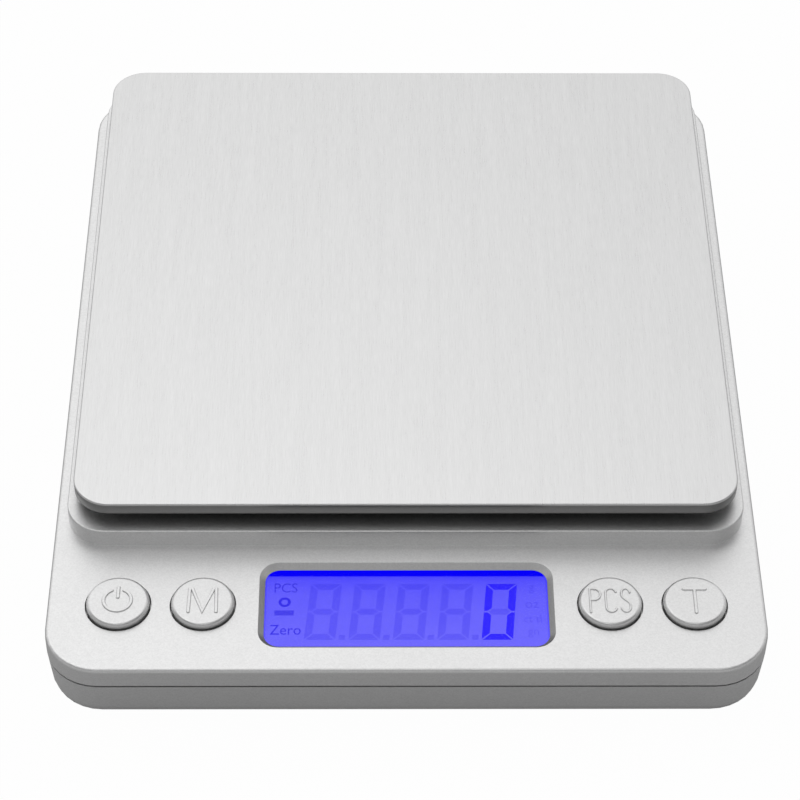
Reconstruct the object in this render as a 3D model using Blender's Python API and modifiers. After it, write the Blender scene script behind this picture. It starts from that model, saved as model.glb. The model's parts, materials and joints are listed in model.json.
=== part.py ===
"""A digital gram scale, modelled as the assembly that it is.

A flat plastic housing in two halves holds a display, a circuit board with four switches, a beam load
cell and two AAA cells. A folded steel platform stands on a carrier that is screwed to the free end of
the load cell. Sizes are in millimetres, and the helpers turn them into metres.

+X points right, +Y to the back and +Z up. The origin is on the bench, under the middle of the housing.
"""

import math

import bmesh
import bpy

MM = 0.001

# ------------------------------------------------------------------ driving dimensions
PLATFORM_SIDE = 100.0
KEY_PANEL_DEPTH = 23.8      # from the housing's front to the plinth
PLINTH_INSET = 1.9          # plinth to housing edge, at both sides and at the back
PLINTH_SHELF_FRONT = 1.9    # plinth left showing in front of the platform
PLINTH_SHELF_SIDE = 1.1
PLATFORM_OVERHANG = 0.6     # platform past the plinth's back
HOUSING_CORNER = 8.0
FOOT_PROUD = 0.8            # how far the feet hold the housing off the bench
FACE_HEIGHT = 11.93         # top of the key panel
PARTING_HEIGHT = 8.24       # where the two halves meet
PLINTH_HEIGHT = 15.03       # top of the raised square under the platform
PLATFORM_HEIGHT = 19.0      # weighing surface
WALL = 1.5
FIT = 0.3                   # gap between pieces that touch or seat on each other

PLINTH_CORNER = 5.75
EDGE_FILLET = 0.55
PLINTH_FILLET = 0.2
LOWER_TAPER = 0.3           # how far the lower half draws in towards the bench
LOWER_FILLET = 2.3
LIP_HEIGHT = 1.1            # locating lip on the lower half
LIP_THICKNESS = 0.8

PLATFORM_CORNER = 5.5
PLATFORM_RIM = 2.0
PLATFORM_SHEET = 0.5
PLATFORM_FOLD = 0.6
PLATFORM_TRAVEL = 0.25      # the load cell's bend at full load

CARRIER_MARGIN = 7.0        # carrier inside the platform's edge
CARRIER_CORNER = 4.0
CARRIER_THICKNESS = 1.5
PAD_SIDE = 12.0
PAD_THICKNESS = 0.3
PAD_MARGIN = 11.0           # middle of a pad from the carrier's edge
NECK_SIZE = (16.0, 9.0)     # block that passes through the plinth down to the load cell
NECK_CLEARANCE = 1.2

CELL_LENGTH = 47.0
CELL_WIDTH = 12.0
CELL_THICKNESS = 6.0
CELL_BOTTOM = 5.0
CELL_HOLE_INSET = 6.0       # middle of a pair of screws from the beam's end
CELL_HOLE_SPACING = 8.0
CELL_EYE_RADIUS = 2.1
CELL_EYE_SPACING = 8.0
SEALANT_SIZE = (13.0, 9.0, 0.8)

KEY_ROW = 12.25             # middle of the keys from the housing's front
KEY_WINDOW_GAP = 3.57       # window opening to the inner key
KEY_SPACE = 1.96            # between two keys' flanges
KEY_RADIUS = 4.65
KEY_PROUD = 1.0
KEY_FILLET = 0.5
KEY_GAP = 0.25
KEY_FLANGE = 0.62
KEY_FLANGE_THICKNESS = 1.0
KEY_STEM_RADIUS = 1.5
KEY_STEM_LENGTH = 0.2
KEY_TRAVEL = 0.4

WINDOW_SIZE = (43.66, 16.1)
WINDOW_ROW = 12.35          # middle of the window from the housing's front
WINDOW_CORNER = 3.0
WINDOW_BEVEL = 0.85
WINDOW_LIP = 0.9            # housing wall left over the window pane
PANE_MARGIN = (1.8, 1.35)   # pane past the opening, at its ends and along it
PANE_THICKNESS = 0.8
LCD_MARGIN = 0.6
LCD_THICKNESS = 1.6
LIGHT_THICKNESS = 1.5
ZEBRA_WIDTH = 2.0
FRAME_WALL = (1.2, 0.4)     # beside the panel, and in front of and behind it

BOARD_THICKNESS = 1.0
BOARD_BOTTOM = 3.6
BOARD_MARGIN = 4.45         # board past the middle of the outer keys
BOARD_INSET = 2.8           # board's front edge from the housing's front
BOARD_REACH = 8.7           # how far the board runs back under the plinth
BOARD_CORNER = 4.0
SWITCH_SIDE = 6.0
SWITCH_HEIGHT = 2.7
SWITCH_FLOOR = 0.7
PLUNGER_RADIUS = 1.75
CHIP_SIZE = (10.0, 6.2, 1.6)
AMPLIFIER_SIZE = (5.0, 4.0, 1.5)
CAPACITOR_RADIUS = 2.5
CAPACITOR_HEIGHT = 5.5
PART_ROW = 4.3              # row of board parts behind the plinth's front

BATTERY_RADIUS = 5.25
BATTERY_LENGTH = 43.3
BATTERY_NUB_RADIUS = 1.9
BATTERY_NUB_LENGTH = 1.2
BATTERY_PITCH = 11.6
BAY_LENGTH = 52.0
BAY_WALL = 2.0
BAY_INSET = 17.3            # middle of the battery bay from the plinth's back
BAY_MARGIN = 0.65           # bay wall to battery
BAY_TOP = 12.5
CONTACT_THICKNESS = 0.4
CONTACT_SIZE = (8.0, 7.5)
SPRING_WIRE = 0.25          # radius of the wire
SPRING_TURNS = 3
SPRING_STEPS = 10           # straight runs in one turn
SPRING_BASE_RADIUS = 3.6
SPRING_TIP_RADIUS = 2.2
LEAD_RADIUS = 0.6
LEAD_HEIGHT = 10.5
LEAD_HOLE_RADIUS = 1.0
CABLE_RADIUS = 0.9

DOOR_THICKNESS = 1.5
DOOR_LEDGE = 1.0            # how far the bay walls overlap the door's edge
KNUCKLE_RADIUS = 1.2
HINGE_PIN_RADIUS = 0.5
HINGE_PIN_LENGTH = 0.7
LATCH_SIZE = (8.0, 1.0, 2.6)
LATCH_SETBACK = 0.1         # latch behind the door's front edge

FOOT_RADIUS = 4.0
FOOT_RECESS = 0.8
FOOT_INSET = (9.5, 9.5)     # foot centre from the housing's sides

SCREW_RADIUS = 1.0
SCREW_HEAD_RADIUS = 2.2
SCREW_HEAD_HEIGHT = 1.4
SCREW_SEAT = 2.8            # height of the seat for the housing screws' heads
SCREW_TOP = 9.5
POST_RADIUS = 3.2
POST_TOP = 4.6
BOSS_RADIUS = 2.2
FRONT_SCREW_INSET = 5.9     # from the housing's front, between the two keys
REAR_SCREW = (34.5, 10.0)   # from the middle, and from the housing's back
CELL_SCREW_RADIUS = 1.5
CELL_SCREW_HEAD_RADIUS = 2.7
CELL_SCREW_HEAD_HEIGHT = 1.2
CELL_SCREW_BITE = 4.0       # length of screw inside the load cell
CELL_SCREW_SEAT = 2.4
BOARD_SCREW_RADIUS = 0.8
BOARD_SCREW_HEAD_RADIUS = 1.7
BOARD_SCREW_HEAD_HEIGHT = 1.0
BOARD_SCREW_LENGTH = 3.2
BOARD_SCREW = (37.5, 1.3)   # from the middle, and in front of the plinth

ROUND_STEPS = 16            # sides of a small round piece
CORNER_STEPS = 8            # straight runs in a rounded corner
FILLET_STEPS = 3
BITE = 0.5                  # how far a shape is sunk into the one that it is joined to

# ------------------------------------------------------------------ sizes that follow
HOUSING_WIDTH = PLATFORM_SIDE + 2 * (PLINTH_SHELF_SIDE + PLINTH_INSET)
PLINTH_WIDTH = HOUSING_WIDTH - 2 * PLINTH_INSET
PLINTH_DEPTH = PLATFORM_SIDE + PLINTH_SHELF_FRONT - PLATFORM_OVERHANG
HOUSING_DEPTH = KEY_PANEL_DEPTH + PLINTH_DEPTH + PLINTH_INSET
HOUSING_FRONT = -HOUSING_DEPTH / 2
PLINTH_FRONT = HOUSING_FRONT + KEY_PANEL_DEPTH
PLINTH_BACK = PLINTH_FRONT + PLINTH_DEPTH
PLINTH_Y = (PLINTH_BACK + PLINTH_FRONT) / 2
PLATFORM_CENTRE_Y = PLINTH_FRONT + PLINTH_SHELF_FRONT + PLATFORM_SIDE / 2

LOWER_BOTTOM = FOOT_PROUD
LOWER_TOP = PARTING_HEIGHT - FIT / 2
UPPER_BOTTOM = PARTING_HEIGHT + FIT / 2
FLOOR_TOP = LOWER_BOTTOM + WALL
FACE_CEILING = FACE_HEIGHT - WALL
PLINTH_CEILING = PLINTH_HEIGHT - WALL

KEY_INNER = WINDOW_SIZE[0] / 2 + KEY_WINDOW_GAP + KEY_RADIUS
KEY_OUTER = KEY_INNER + 2 * (KEY_RADIUS + KEY_FLANGE) + KEY_SPACE
KEY_X = {"power": -KEY_OUTER, "mode": -KEY_INNER, "count": KEY_INNER, "tare": KEY_OUTER}
KEY_Y = HOUSING_FRONT + KEY_ROW
WINDOW_Y = HOUSING_FRONT + WINDOW_ROW
BOARD_FRONT = HOUSING_FRONT + BOARD_INSET
BOARD_BACK = PLINTH_FRONT + BOARD_REACH
PART_ROW_Y = PLINTH_FRONT + PART_ROW
BAY_MIDDLE_Y = PLINTH_BACK - BAY_INSET
BOARD_TOP = BOARD_BOTTOM + BOARD_THICKNESS
BOARD_DEPTH = BOARD_BACK - BOARD_FRONT
BOARD_HALF_WIDTH = KEY_OUTER + BOARD_MARGIN
BOARD_Y = (BOARD_BACK + BOARD_FRONT) / 2
PART_BOTTOM = BOARD_TOP + FIT

PANE_TOP = FACE_HEIGHT - WINDOW_LIP - FIT
PANE_SIZE = [side + 2 * margin for side, margin in zip(WINDOW_SIZE, PANE_MARGIN)]
LCD_TOP = PANE_TOP - PANE_THICKNESS - FIT
LCD_SIZE = (WINDOW_SIZE[0] + 2 * LCD_MARGIN, WINDOW_SIZE[1] + 2 * LCD_MARGIN)
LIGHT_TOP = LCD_TOP - LCD_THICKNESS - FIT
FRAME_SIZE = [side + 2 * (FIT + wall) for side, wall in zip(LCD_SIZE, FRAME_WALL)]

CARRIER_SIDE = PLATFORM_SIDE - 2 * CARRIER_MARGIN
PAD_OFFSET = CARRIER_SIDE / 2 - PAD_MARGIN
PLATFORM_UNDER = PLATFORM_HEIGHT - PLATFORM_SHEET
CARRIER_TOP = PLATFORM_UNDER - 2 * FIT - PAD_THICKNESS
CARRIER_BOTTOM = CARRIER_TOP - CARRIER_THICKNESS
CELL_TOP = CELL_BOTTOM + CELL_THICKNESS
CELL_END = CELL_LENGTH / 2 - CELL_HOLE_INSET
CELL_SEAT = CELL_BOTTOM - FIT
CARRIER_SCREW_SEAT = CARRIER_TOP - CELL_SCREW_HEAD_HEIGHT - 2 * FIT

BATTERY_Z = LOWER_BOTTOM + DOOR_THICKNESS + FIT + BATTERY_RADIUS
BAY_DEPTH = BATTERY_PITCH + 2 * (BATTERY_RADIUS + BAY_MARGIN)
DOOR_LENGTH = BAY_LENGTH + 2 * (DOOR_LEDGE - FIT)
DOOR_DEPTH = BAY_DEPTH + 2 * (DOOR_LEDGE - FIT)
HINGE_Y = BAY_MIDDLE_Y + DOOR_DEPTH / 2 - KNUCKLE_RADIUS
HINGE_Z = LOWER_BOTTOM + KNUCKLE_RADIUS
DOOR_FRONT = BAY_MIDDLE_Y - DOOR_DEPTH / 2
LATCH_Y = DOOR_FRONT + LATCH_SETBACK + LATCH_SIZE[1] / 2
LATCH_TOP = FLOOR_TOP + LATCH_SIZE[2]

FRONT_SCREW_X = (KEY_INNER + KEY_OUTER) / 2
FRONT_SCREW_Y = HOUSING_FRONT + FRONT_SCREW_INSET
REAR_SCREW_Y = -HOUSING_FRONT - REAR_SCREW[1]
HOUSING_SCREWS = {"front_left": (-FRONT_SCREW_X, FRONT_SCREW_Y),
                  "front_right": (FRONT_SCREW_X, FRONT_SCREW_Y),
                  "rear_left": (-REAR_SCREW[0], REAR_SCREW_Y), "rear_right": (REAR_SCREW[0], REAR_SCREW_Y)}
BOARD_SCREW_Y = PLINTH_FRONT - BOARD_SCREW[1]
BOARD_SCREWS = {"left": (-BOARD_SCREW[0], BOARD_SCREW_Y), "right": (BOARD_SCREW[0], BOARD_SCREW_Y)}
FOOT_X = HOUSING_WIDTH / 2 - FOOT_INSET[0]
FOOT_Y = HOUSING_DEPTH / 2 - FOOT_INSET[1]
FOOT_PLACES = {"front_left": (-FOOT_X, -FOOT_Y), "front_right": (FOOT_X, -FOOT_Y),
               "rear_left": (-FOOT_X, FOOT_Y), "rear_right": (FOOT_X, FOOT_Y)}

# ------------------------------------------------------------------ materials
MATERIALS = {
    # name: (colour, roughness, metallic)
    "silver_paint": ((0.72, 0.73, 0.74), 0.35, 0.9),
    "brushed_steel": ((0.70, 0.70, 0.69), 0.3, 1.0),
    "clear_pane": ((0.30, 0.30, 0.95), 0.05, 0.0),
    "lcd_glass": ((0.10, 0.09, 0.90), 0.1, 0.0),
    "light_guide": ((0.85, 0.87, 0.95), 0.3, 0.0),
    "white_plastic": ((0.82, 0.82, 0.80), 0.5, 0.0),
    "black_plastic": ((0.03, 0.03, 0.03), 0.5, 0.0),
    "black_rubber": ((0.02, 0.02, 0.02), 0.8, 0.0),
    "foam_tape": ((0.75, 0.74, 0.70), 0.9, 0.0),
    "board_green": ((0.03, 0.20, 0.08), 0.4, 0.0),
    "zinc_plate": ((0.75, 0.75, 0.77), 0.3, 1.0),
    "nickel_strip": ((0.72, 0.70, 0.66), 0.25, 1.0),
    "cell_aluminium": ((0.80, 0.80, 0.82), 0.4, 1.0),
    "silicone": ((0.88, 0.88, 0.86), 0.6, 0.0),
    "battery_wrap": ((0.05, 0.07, 0.09), 0.35, 0.3),
    "red_wire": ((0.60, 0.03, 0.03), 0.5, 0.0),
    "black_wire": ((0.02, 0.02, 0.02), 0.5, 0.0),
    "grey_cable": ((0.35, 0.35, 0.36), 0.5, 0.0),
    "blue_sleeve": ((0.05, 0.07, 0.25), 0.35, 0.2),
}


def make_materials():
    """One Principled material for each finish in the list."""
    made = {}
    for name, (colour, roughness, metallic) in MATERIALS.items():
        material = bpy.data.materials.new(name)
        material.use_nodes = True
        shader = material.node_tree.nodes["Principled BSDF"]
        shader.inputs["Base Color"].default_value = (*colour, 1.0)
        shader.inputs["Roughness"].default_value = roughness
        shader.inputs["Metallic"].default_value = metallic
        made[name] = material
    return made


for old_object in list(bpy.data.objects):
    bpy.data.objects.remove(old_object)

FINISHES = make_materials()
SCALE = bpy.data.collections.new("digital_gram_scale")
CUTTERS = bpy.data.collections.new("cutters")
for new_collection in (SCALE, CUTTERS):
    bpy.context.scene.collection.children.link(new_collection)


# ------------------------------------------------------------------ helpers, sizes in millimetres
def put(name, mesh, finish, place=(0.0, 0.0, 0.0), smooth=True):
    """Add a mesh as a part of the scale, or as a cutter where it has no finish."""
    thing = bpy.data.objects.new(name, mesh)
    thing.location = [value * MM for value in (*place, 0.0)[:3]]
    if finish:
        SCALE.objects.link(thing)
        mesh.materials.append(FINISHES[finish])
    else:
        CUTTERS.objects.link(thing)
        thing.hide_render = True
        thing.display_type = "WIRE"
    if smooth:
        mesh.shade_smooth()
        mesh.set_sharp_from_angle(angle=math.radians(35))
    return thing


def finish_bmesh(shape, name):
    """Turn a bmesh into a mesh in metres."""
    bmesh.ops.scale(shape, vec=(MM, MM, MM), verts=shape.verts)
    mesh = bpy.data.meshes.new(name)
    shape.to_mesh(mesh)
    shape.free()
    return mesh


def box(name, finish, centre, size, bottom, top):
    """A block around centre (x, y), with its size along x and y, from bottom to top."""
    shape = bmesh.new()
    bmesh.ops.create_cube(shape, size=1.0)
    bmesh.ops.scale(shape, vec=(size[0], size[1], top - bottom), verts=shape.verts)
    return put(name, finish_bmesh(shape, name), finish, (*centre, (bottom + top) / 2), smooth=False)


def cylinder(name, finish, centre, radius, bottom, top, steps=ROUND_STEPS):
    """An upright cylinder."""
    shape = bmesh.new()
    bmesh.ops.create_cone(shape, cap_ends=True, segments=steps, radius1=radius, radius2=radius,
                          depth=top - bottom)
    return put(name, finish_bmesh(shape, name), finish, (*centre, (bottom + top) / 2))


def rod_along(name, finish, axis, centre, radius, length, steps=ROUND_STEPS):
    """A cylinder along X or Y around its middle."""
    rod = cylinder(name, finish, centre[:2], radius, centre[2] - length / 2, centre[2] + length / 2, steps)
    if axis == "X":
        rod.rotation_euler.y = math.radians(90)
    else:
        rod.rotation_euler.x = math.radians(90)
    return rod


def turned(name, finish, centre, profile, steps=ROUND_STEPS):
    """A profile of (radius, height), from the top down its outer side, turned about the Z axis."""
    shape = bmesh.new()
    points = [shape.verts.new((radius, 0.0, height)) for radius, height in profile]
    for upper, lower in zip(points, points[1:]):
        shape.edges.new((upper, lower))
    part = put(name, finish_bmesh(shape, name), finish, centre)
    screw = part.modifiers.new("Turn", "SCREW")
    screw.steps = steps
    screw.render_steps = steps
    screw.use_merge_vertices = True
    screw.merge_threshold = 0.00001
    screw.use_smooth_shade = True
    return part


def rounded_outline(width, depth, corner):
    """Points of a rounded rectangle, anticlockwise seen from above."""
    points = []
    for quarter, (side_x, side_y) in enumerate(((1, 1), (-1, 1), (-1, -1), (1, -1))):
        middle_x = side_x * (width / 2 - corner)
        middle_y = side_y * (depth / 2 - corner)
        for step in range(CORNER_STEPS + 1):
            angle = math.pi / 2 * (quarter + step / CORNER_STEPS)
            points.append((middle_x + corner * math.cos(angle), middle_y + corner * math.sin(angle)))
    return points


def loft(name, finish, centre, levels, open_below=False):
    """Rounded rectangles (height, width, depth, corner) skinned from the lowest to the highest."""
    shape = bmesh.new()
    rings = []
    for height, width, depth, corner in levels:
        rings.append([shape.verts.new((x, y, height)) for x, y in rounded_outline(width, depth, corner)])
    for low, high in zip(rings, rings[1:]):
        for first in range(len(low)):
            second = (first + 1) % len(low)
            shape.faces.new((low[first], low[second], high[second], high[first]))
    shape.faces.new(rings[-1])
    if not open_below:
        shape.faces.new(reversed(rings[0]))
    return put(name, finish_bmesh(shape, name), finish, (*centre, 0.0))


def rounded_top(width, depth, corner, top, fillet, steps=FILLET_STEPS):
    """Loft levels that round off the top edge of a block."""
    levels = []
    for step in range(steps + 1):
        angle = math.pi / 2 * step / steps
        inset = fillet * (1 - math.cos(angle))
        height = top - fillet + fillet * math.sin(angle)
        levels.append((height, width - 2 * inset, depth - 2 * inset, corner - inset))
    return levels


def prism(name, finish, centre, size, corner, bottom, top):
    """An upright block with rounded corners."""
    return loft(name, finish, centre, [(bottom, *size, corner), (top, *size, corner)])


def tube(name, finish, points, radius, cyclic=False):
    """A round wire through points, as a filled curve."""
    curve = bpy.data.curves.new(name, "CURVE")
    curve.dimensions = "3D"
    curve.bevel_depth = radius * MM
    curve.bevel_resolution = 2
    curve.use_fill_caps = True
    spline = curve.splines.new("POLY")
    spline.points.add(len(points) - 1)
    spline.use_cyclic_u = cyclic
    spline.use_smooth = True
    for point, place in zip(spline.points, points):
        point.co = (*[value * MM for value in place], 1.0)
    curve.materials.append(FINISHES[finish])
    thing = bpy.data.objects.new(name, curve)
    SCALE.objects.link(thing)
    return thing


def smooth_route(stops, steps=4):
    """Points on a smooth curve through the stops (Catmull-Rom)."""
    ends = [stops[0], *stops, stops[-1]]
    route = []
    for before, start, end, after in zip(ends, ends[1:], ends[2:], ends[3:]):
        for step in range(steps):
            t = step / steps
            route.append(tuple(
                0.5 * (2 * b + (c - a) * t + (2 * a - 5 * b + 4 * c - d) * t ** 2
                       + (3 * b - a - 3 * c + d) * t ** 3)
                for a, b, c, d in zip(before, start, end, after)))
    route.append(tuple(stops[-1]))
    return route


def join(part, *tools):
    """Join the tools to a part."""
    apply_tools(part, tools, "UNION")


def cut(part, *tools):
    """Cut the tools out of a part."""
    apply_tools(part, tools, "DIFFERENCE")


def apply_tools(part, tools, operation):
    for tool in tools:
        boolean = part.modifiers.new(tool.name, "BOOLEAN")
        boolean.operation = operation
        boolean.solver = "EXACT"
        boolean.object = tool


def both_ends(reach):
    """The two signs of a mirrored place, times its reach."""
    return (-reach, reach)


# ------------------------------------------------------------------ upper housing
def make_upper_housing():
    """The face with its plinth: a thin shell with bosses that the housing screws bite into."""
    face_levels = [(UPPER_BOTTOM, HOUSING_WIDTH, HOUSING_DEPTH, HOUSING_CORNER)]
    face_levels += rounded_top(HOUSING_WIDTH, HOUSING_DEPTH, HOUSING_CORNER, FACE_HEIGHT, EDGE_FILLET)
    housing = loft("upper_housing", "silver_paint", (0, 0), face_levels)

    plinth_levels = [(FACE_HEIGHT - BITE, PLINTH_WIDTH, PLINTH_DEPTH, PLINTH_CORNER)]
    plinth_levels += rounded_top(PLINTH_WIDTH, PLINTH_DEPTH, PLINTH_CORNER, PLINTH_HEIGHT, PLINTH_FILLET)
    join(housing, loft("plinth_block", None, (0, PLINTH_Y), plinth_levels))

    inner = (HOUSING_WIDTH - 2 * WALL, HOUSING_DEPTH - 2 * WALL)
    plinth_inner = (PLINTH_WIDTH - 2 * WALL, PLINTH_DEPTH - 2 * WALL)
    cut(housing,
        prism("face_hollow", None, (0, 0), inner, HOUSING_CORNER - WALL, UPPER_BOTTOM - 1, FACE_CEILING),
        prism("plinth_hollow", None, (0, PLINTH_Y), plinth_inner, PLINTH_CORNER - WALL,
              UPPER_BOTTOM - 1, PLINTH_CEILING))

    for place, (x, y) in HOUSING_SCREWS.items():
        ceiling = FACE_CEILING if y < PLINTH_FRONT else PLINTH_CEILING
        join(housing, cylinder("boss_" + place, None, (x, y), BOSS_RADIUS, POST_TOP + FIT, ceiling + BITE))
        cut(housing, cylinder("boss_bore_" + place, None, (x, y), SCREW_RADIUS + FIT,
                              POST_TOP, SCREW_TOP + FIT))

    under_lip = FACE_HEIGHT - WINDOW_LIP
    narrowing = WINDOW_BEVEL / WINDOW_LIP      # the bevel runs on past both faces of the lip
    levels = []
    for height in (under_lip - BITE, FACE_HEIGHT + BITE):
        inset = (FACE_HEIGHT - height) * narrowing
        levels.append((height, WINDOW_SIZE[0] - 2 * inset, WINDOW_SIZE[1] - 2 * inset,
                       WINDOW_CORNER - inset * 0.9))
    cut(housing,
        loft("window_opening", None, (0, WINDOW_Y), levels),
        prism("pane_pocket", None, (0, WINDOW_Y), [side + 2 * FIT for side in PANE_SIZE],
              1.0, FACE_CEILING - 1, under_lip))

    for key, x in KEY_X.items():
        cut(housing, cylinder("key_hole_" + key, None, (x, KEY_Y), KEY_RADIUS + KEY_GAP,
                              FACE_CEILING - 1, FACE_HEIGHT + 1, steps=48))

    neck_opening = [side + 2 * NECK_CLEARANCE for side in NECK_SIZE]
    cut(housing, prism("neck_opening", None, (-CELL_END, PLATFORM_CENTRE_Y), neck_opening, 1.5,
                       PLINTH_CEILING - 1, PLINTH_HEIGHT + 1))
    return housing


# ------------------------------------------------------------------ lower housing
def lower_inset(height):
    """How far the lower half's side has drawn in at this height."""
    return LOWER_TAPER * (LOWER_TOP - height) / (LOWER_TOP - LOWER_BOTTOM)


def make_lower_housing():
    """The tray: posts, load cell seat, battery bay, locating lip and foot recesses."""
    levels = []
    inset = lower_inset(LOWER_BOTTOM)
    width, depth = HOUSING_WIDTH - 2 * inset, HOUSING_DEPTH - 2 * inset
    for height, *sizes in rounded_top(width, depth, HOUSING_CORNER, LOWER_FILLET, LOWER_FILLET):
        levels.insert(0, (LOWER_BOTTOM + LOWER_FILLET - height, *sizes))
    levels.append((LOWER_TOP, HOUSING_WIDTH, HOUSING_DEPTH, HOUSING_CORNER))
    housing = loft("lower_housing", "silver_paint", (0, 0), levels)

    lip = [side - 2 * (WALL + FIT) for side in (HOUSING_WIDTH, HOUSING_DEPTH)]
    join(housing, prism("lip_block", None, (0, 0), lip, HOUSING_CORNER - WALL - FIT,
                        LOWER_TOP - BITE, LOWER_TOP + LIP_HEIGHT))

    ledge = LOWER_TOP - 2 * LIP_HEIGHT
    hollow = [(height, HOUSING_WIDTH - 2 * (WALL + lower_inset(height)),
               HOUSING_DEPTH - 2 * (WALL + lower_inset(height)), HOUSING_CORNER - WALL)
              for height in (FLOOR_TOP, ledge)]
    mouth = [side - 2 * LIP_THICKNESS for side in lip]
    mouth_corner = HOUSING_CORNER - WALL - FIT - LIP_THICKNESS
    cut(housing,
        loft("tray_hollow", None, (0, 0), hollow),
        prism("tray_mouth", None, (0, 0), mouth, mouth_corner, ledge - BITE, LOWER_TOP + LIP_HEIGHT + 1))

    add_screw_posts(housing)
    add_cell_seat(housing)
    add_battery_bay(housing)
    for place, (x, y) in FOOT_PLACES.items():
        cut(housing, cylinder("foot_recess_" + place, None, (x, y), FOOT_RADIUS + FIT,
                              LOWER_BOTTOM - 1, LOWER_BOTTOM + FOOT_RECESS))
    return housing


def add_screw_posts(housing):
    """Posts for the housing screws, with their counterbores, and stand-offs for the board."""
    for place, (x, y) in HOUSING_SCREWS.items():
        join(housing, cylinder("post_" + place, None, (x, y), POST_RADIUS, FLOOR_TOP - BITE, POST_TOP))
        cut(housing,
            cylinder("screw_way_" + place, None, (x, y), SCREW_RADIUS + FIT, LOWER_BOTTOM - 1, POST_TOP + 1),
            cylinder("counterbore_" + place, None, (x, y), SCREW_HEAD_RADIUS + FIT,
                     LOWER_BOTTOM - 1, SCREW_SEAT))
    for place, (x, y) in BOARD_SCREWS.items():
        join(housing, cylinder("standoff_" + place, None, (x, y), POST_RADIUS,
                               FLOOR_TOP - BITE, BOARD_BOTTOM - FIT))
        cut(housing, cylinder("standoff_bore_" + place, None, (x, y), BOARD_SCREW_RADIUS + FIT,
                              PART_BOTTOM - BOARD_SCREW_LENGTH - FIT, BOARD_BOTTOM))


def add_cell_seat(housing):
    """The block that the load cell's fixed end is screwed to, and the stop under its free end."""
    join(housing,
         box("cell_seat", None, (CELL_END, PLATFORM_CENTRE_Y), NECK_SIZE, FLOOR_TOP - BITE, CELL_SEAT),
         cylinder("overload_stop", None, (-CELL_LENGTH / 2 + CELL_EYE_RADIUS, PLATFORM_CENTRE_Y),
                  CELL_EYE_RADIUS, FLOOR_TOP - BITE, CELL_SEAT))
    for side in both_ends(CELL_HOLE_SPACING / 2):
        place = (CELL_END + side, PLATFORM_CENTRE_Y)
        name = "outer" if side > 0 else "inner"
        cut(housing,
            cylinder("cell_screw_way_" + name, None, place, CELL_SCREW_RADIUS + FIT,
                     LOWER_BOTTOM - 1, CELL_SEAT + 1),
            cylinder("cell_counterbore_" + name, None, place, CELL_SCREW_HEAD_RADIUS + FIT,
                     LOWER_BOTTOM - 1, CELL_SCREW_SEAT))


def add_battery_bay(housing):
    """Four walls around the cells, the door's opening, and its hinge holes."""
    outer = (BAY_LENGTH + 2 * BAY_WALL, BAY_DEPTH + 2 * BAY_WALL)
    opening = [side + 2 * FIT for side in (DOOR_LENGTH, DOOR_DEPTH)]
    middle = (0, BAY_MIDDLE_Y)
    join(housing, box("bay_block", None, middle, outer, FLOOR_TOP - BITE, BAY_TOP))
    cut(housing,
        box("bay_hollow", None, middle, (BAY_LENGTH, BAY_DEPTH), FLOOR_TOP, BAY_TOP + 1),
        box("door_opening", None, middle, opening, LOWER_BOTTOM - 1, FLOOR_TOP + FIT),
        rod_along("knuckle_clearance", None, "X", (0, HINGE_Y, HINGE_Z), KNUCKLE_RADIUS + FIT, opening[0]),
        rod_along("hinge_holes", None, "X", (0, HINGE_Y, HINGE_Z), HINGE_PIN_RADIUS + FIT,
                  DOOR_LENGTH + 2 * (HINGE_PIN_LENGTH + FIT)),
        box("latch_way", None, (0, LATCH_Y), (LATCH_SIZE[0] + 2 * FIT, LATCH_SIZE[1] + 4 * FIT),
            LOWER_BOTTOM, LATCH_TOP + FIT))
    for side in both_ends(BATTERY_PITCH / 2):
        name = "rear" if side > 0 else "front"
        cut(housing, rod_along("lead_hole_" + name, None, "X",
                               (-BAY_LENGTH / 2 - BAY_WALL / 2, BAY_MIDDLE_Y + side, LEAD_HEIGHT),
                               LEAD_HOLE_RADIUS, BAY_WALL + 1, steps=12))


# ------------------------------------------------------------------ display
def make_display():
    """Window pane, liquid crystal panel, light guide, contact strip and the frame that holds them."""
    middle = (0, WINDOW_Y)
    prism("display_window", "clear_pane", middle, PANE_SIZE, 0.8, PANE_TOP - PANE_THICKNESS, PANE_TOP)
    box("lcd_panel", "lcd_glass", middle, LCD_SIZE, LCD_TOP - LCD_THICKNESS, LCD_TOP)

    light_depth = LCD_SIZE[1] - ZEBRA_WIDTH - 3 * FIT
    light_y = WINDOW_Y + (LCD_SIZE[1] - light_depth) / 2
    light_bottom = LIGHT_TOP - LIGHT_THICKNESS
    box("backlight", "light_guide", (0, light_y), (LCD_SIZE[0], light_depth), light_bottom, LIGHT_TOP)

    zebra_y = WINDOW_Y - (LCD_SIZE[1] - ZEBRA_WIDTH) / 2
    zebra_length = LCD_SIZE[0] - 2 * FIT
    box("contact_strip", "black_rubber", (0, zebra_y), (zebra_length, ZEBRA_WIDTH), PART_BOTTOM, LIGHT_TOP)

    frame = box("display_frame", "white_plastic", middle, FRAME_SIZE, PART_BOTTOM, LCD_TOP - FIT)
    cut(frame,
        box("panel_seat", None, middle, [side + 2 * FIT for side in LCD_SIZE], LIGHT_TOP, LCD_TOP + 1),
        box("light_seat", None, (0, light_y), (LCD_SIZE[0] - 1, light_depth - 0.01),
            light_bottom - FIT, LIGHT_TOP + 1),
        box("light_side_seats", None, (0, light_y), (LCD_SIZE[0] + 2 * FIT, light_depth + 2 * FIT),
            light_bottom - FIT, LIGHT_TOP + 1),
        box("strip_slot", None, (0, zebra_y), (zebra_length + 2 * FIT, ZEBRA_WIDTH + 2 * FIT),
            PART_BOTTOM - 1, LCD_TOP - LCD_THICKNESS))


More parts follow.
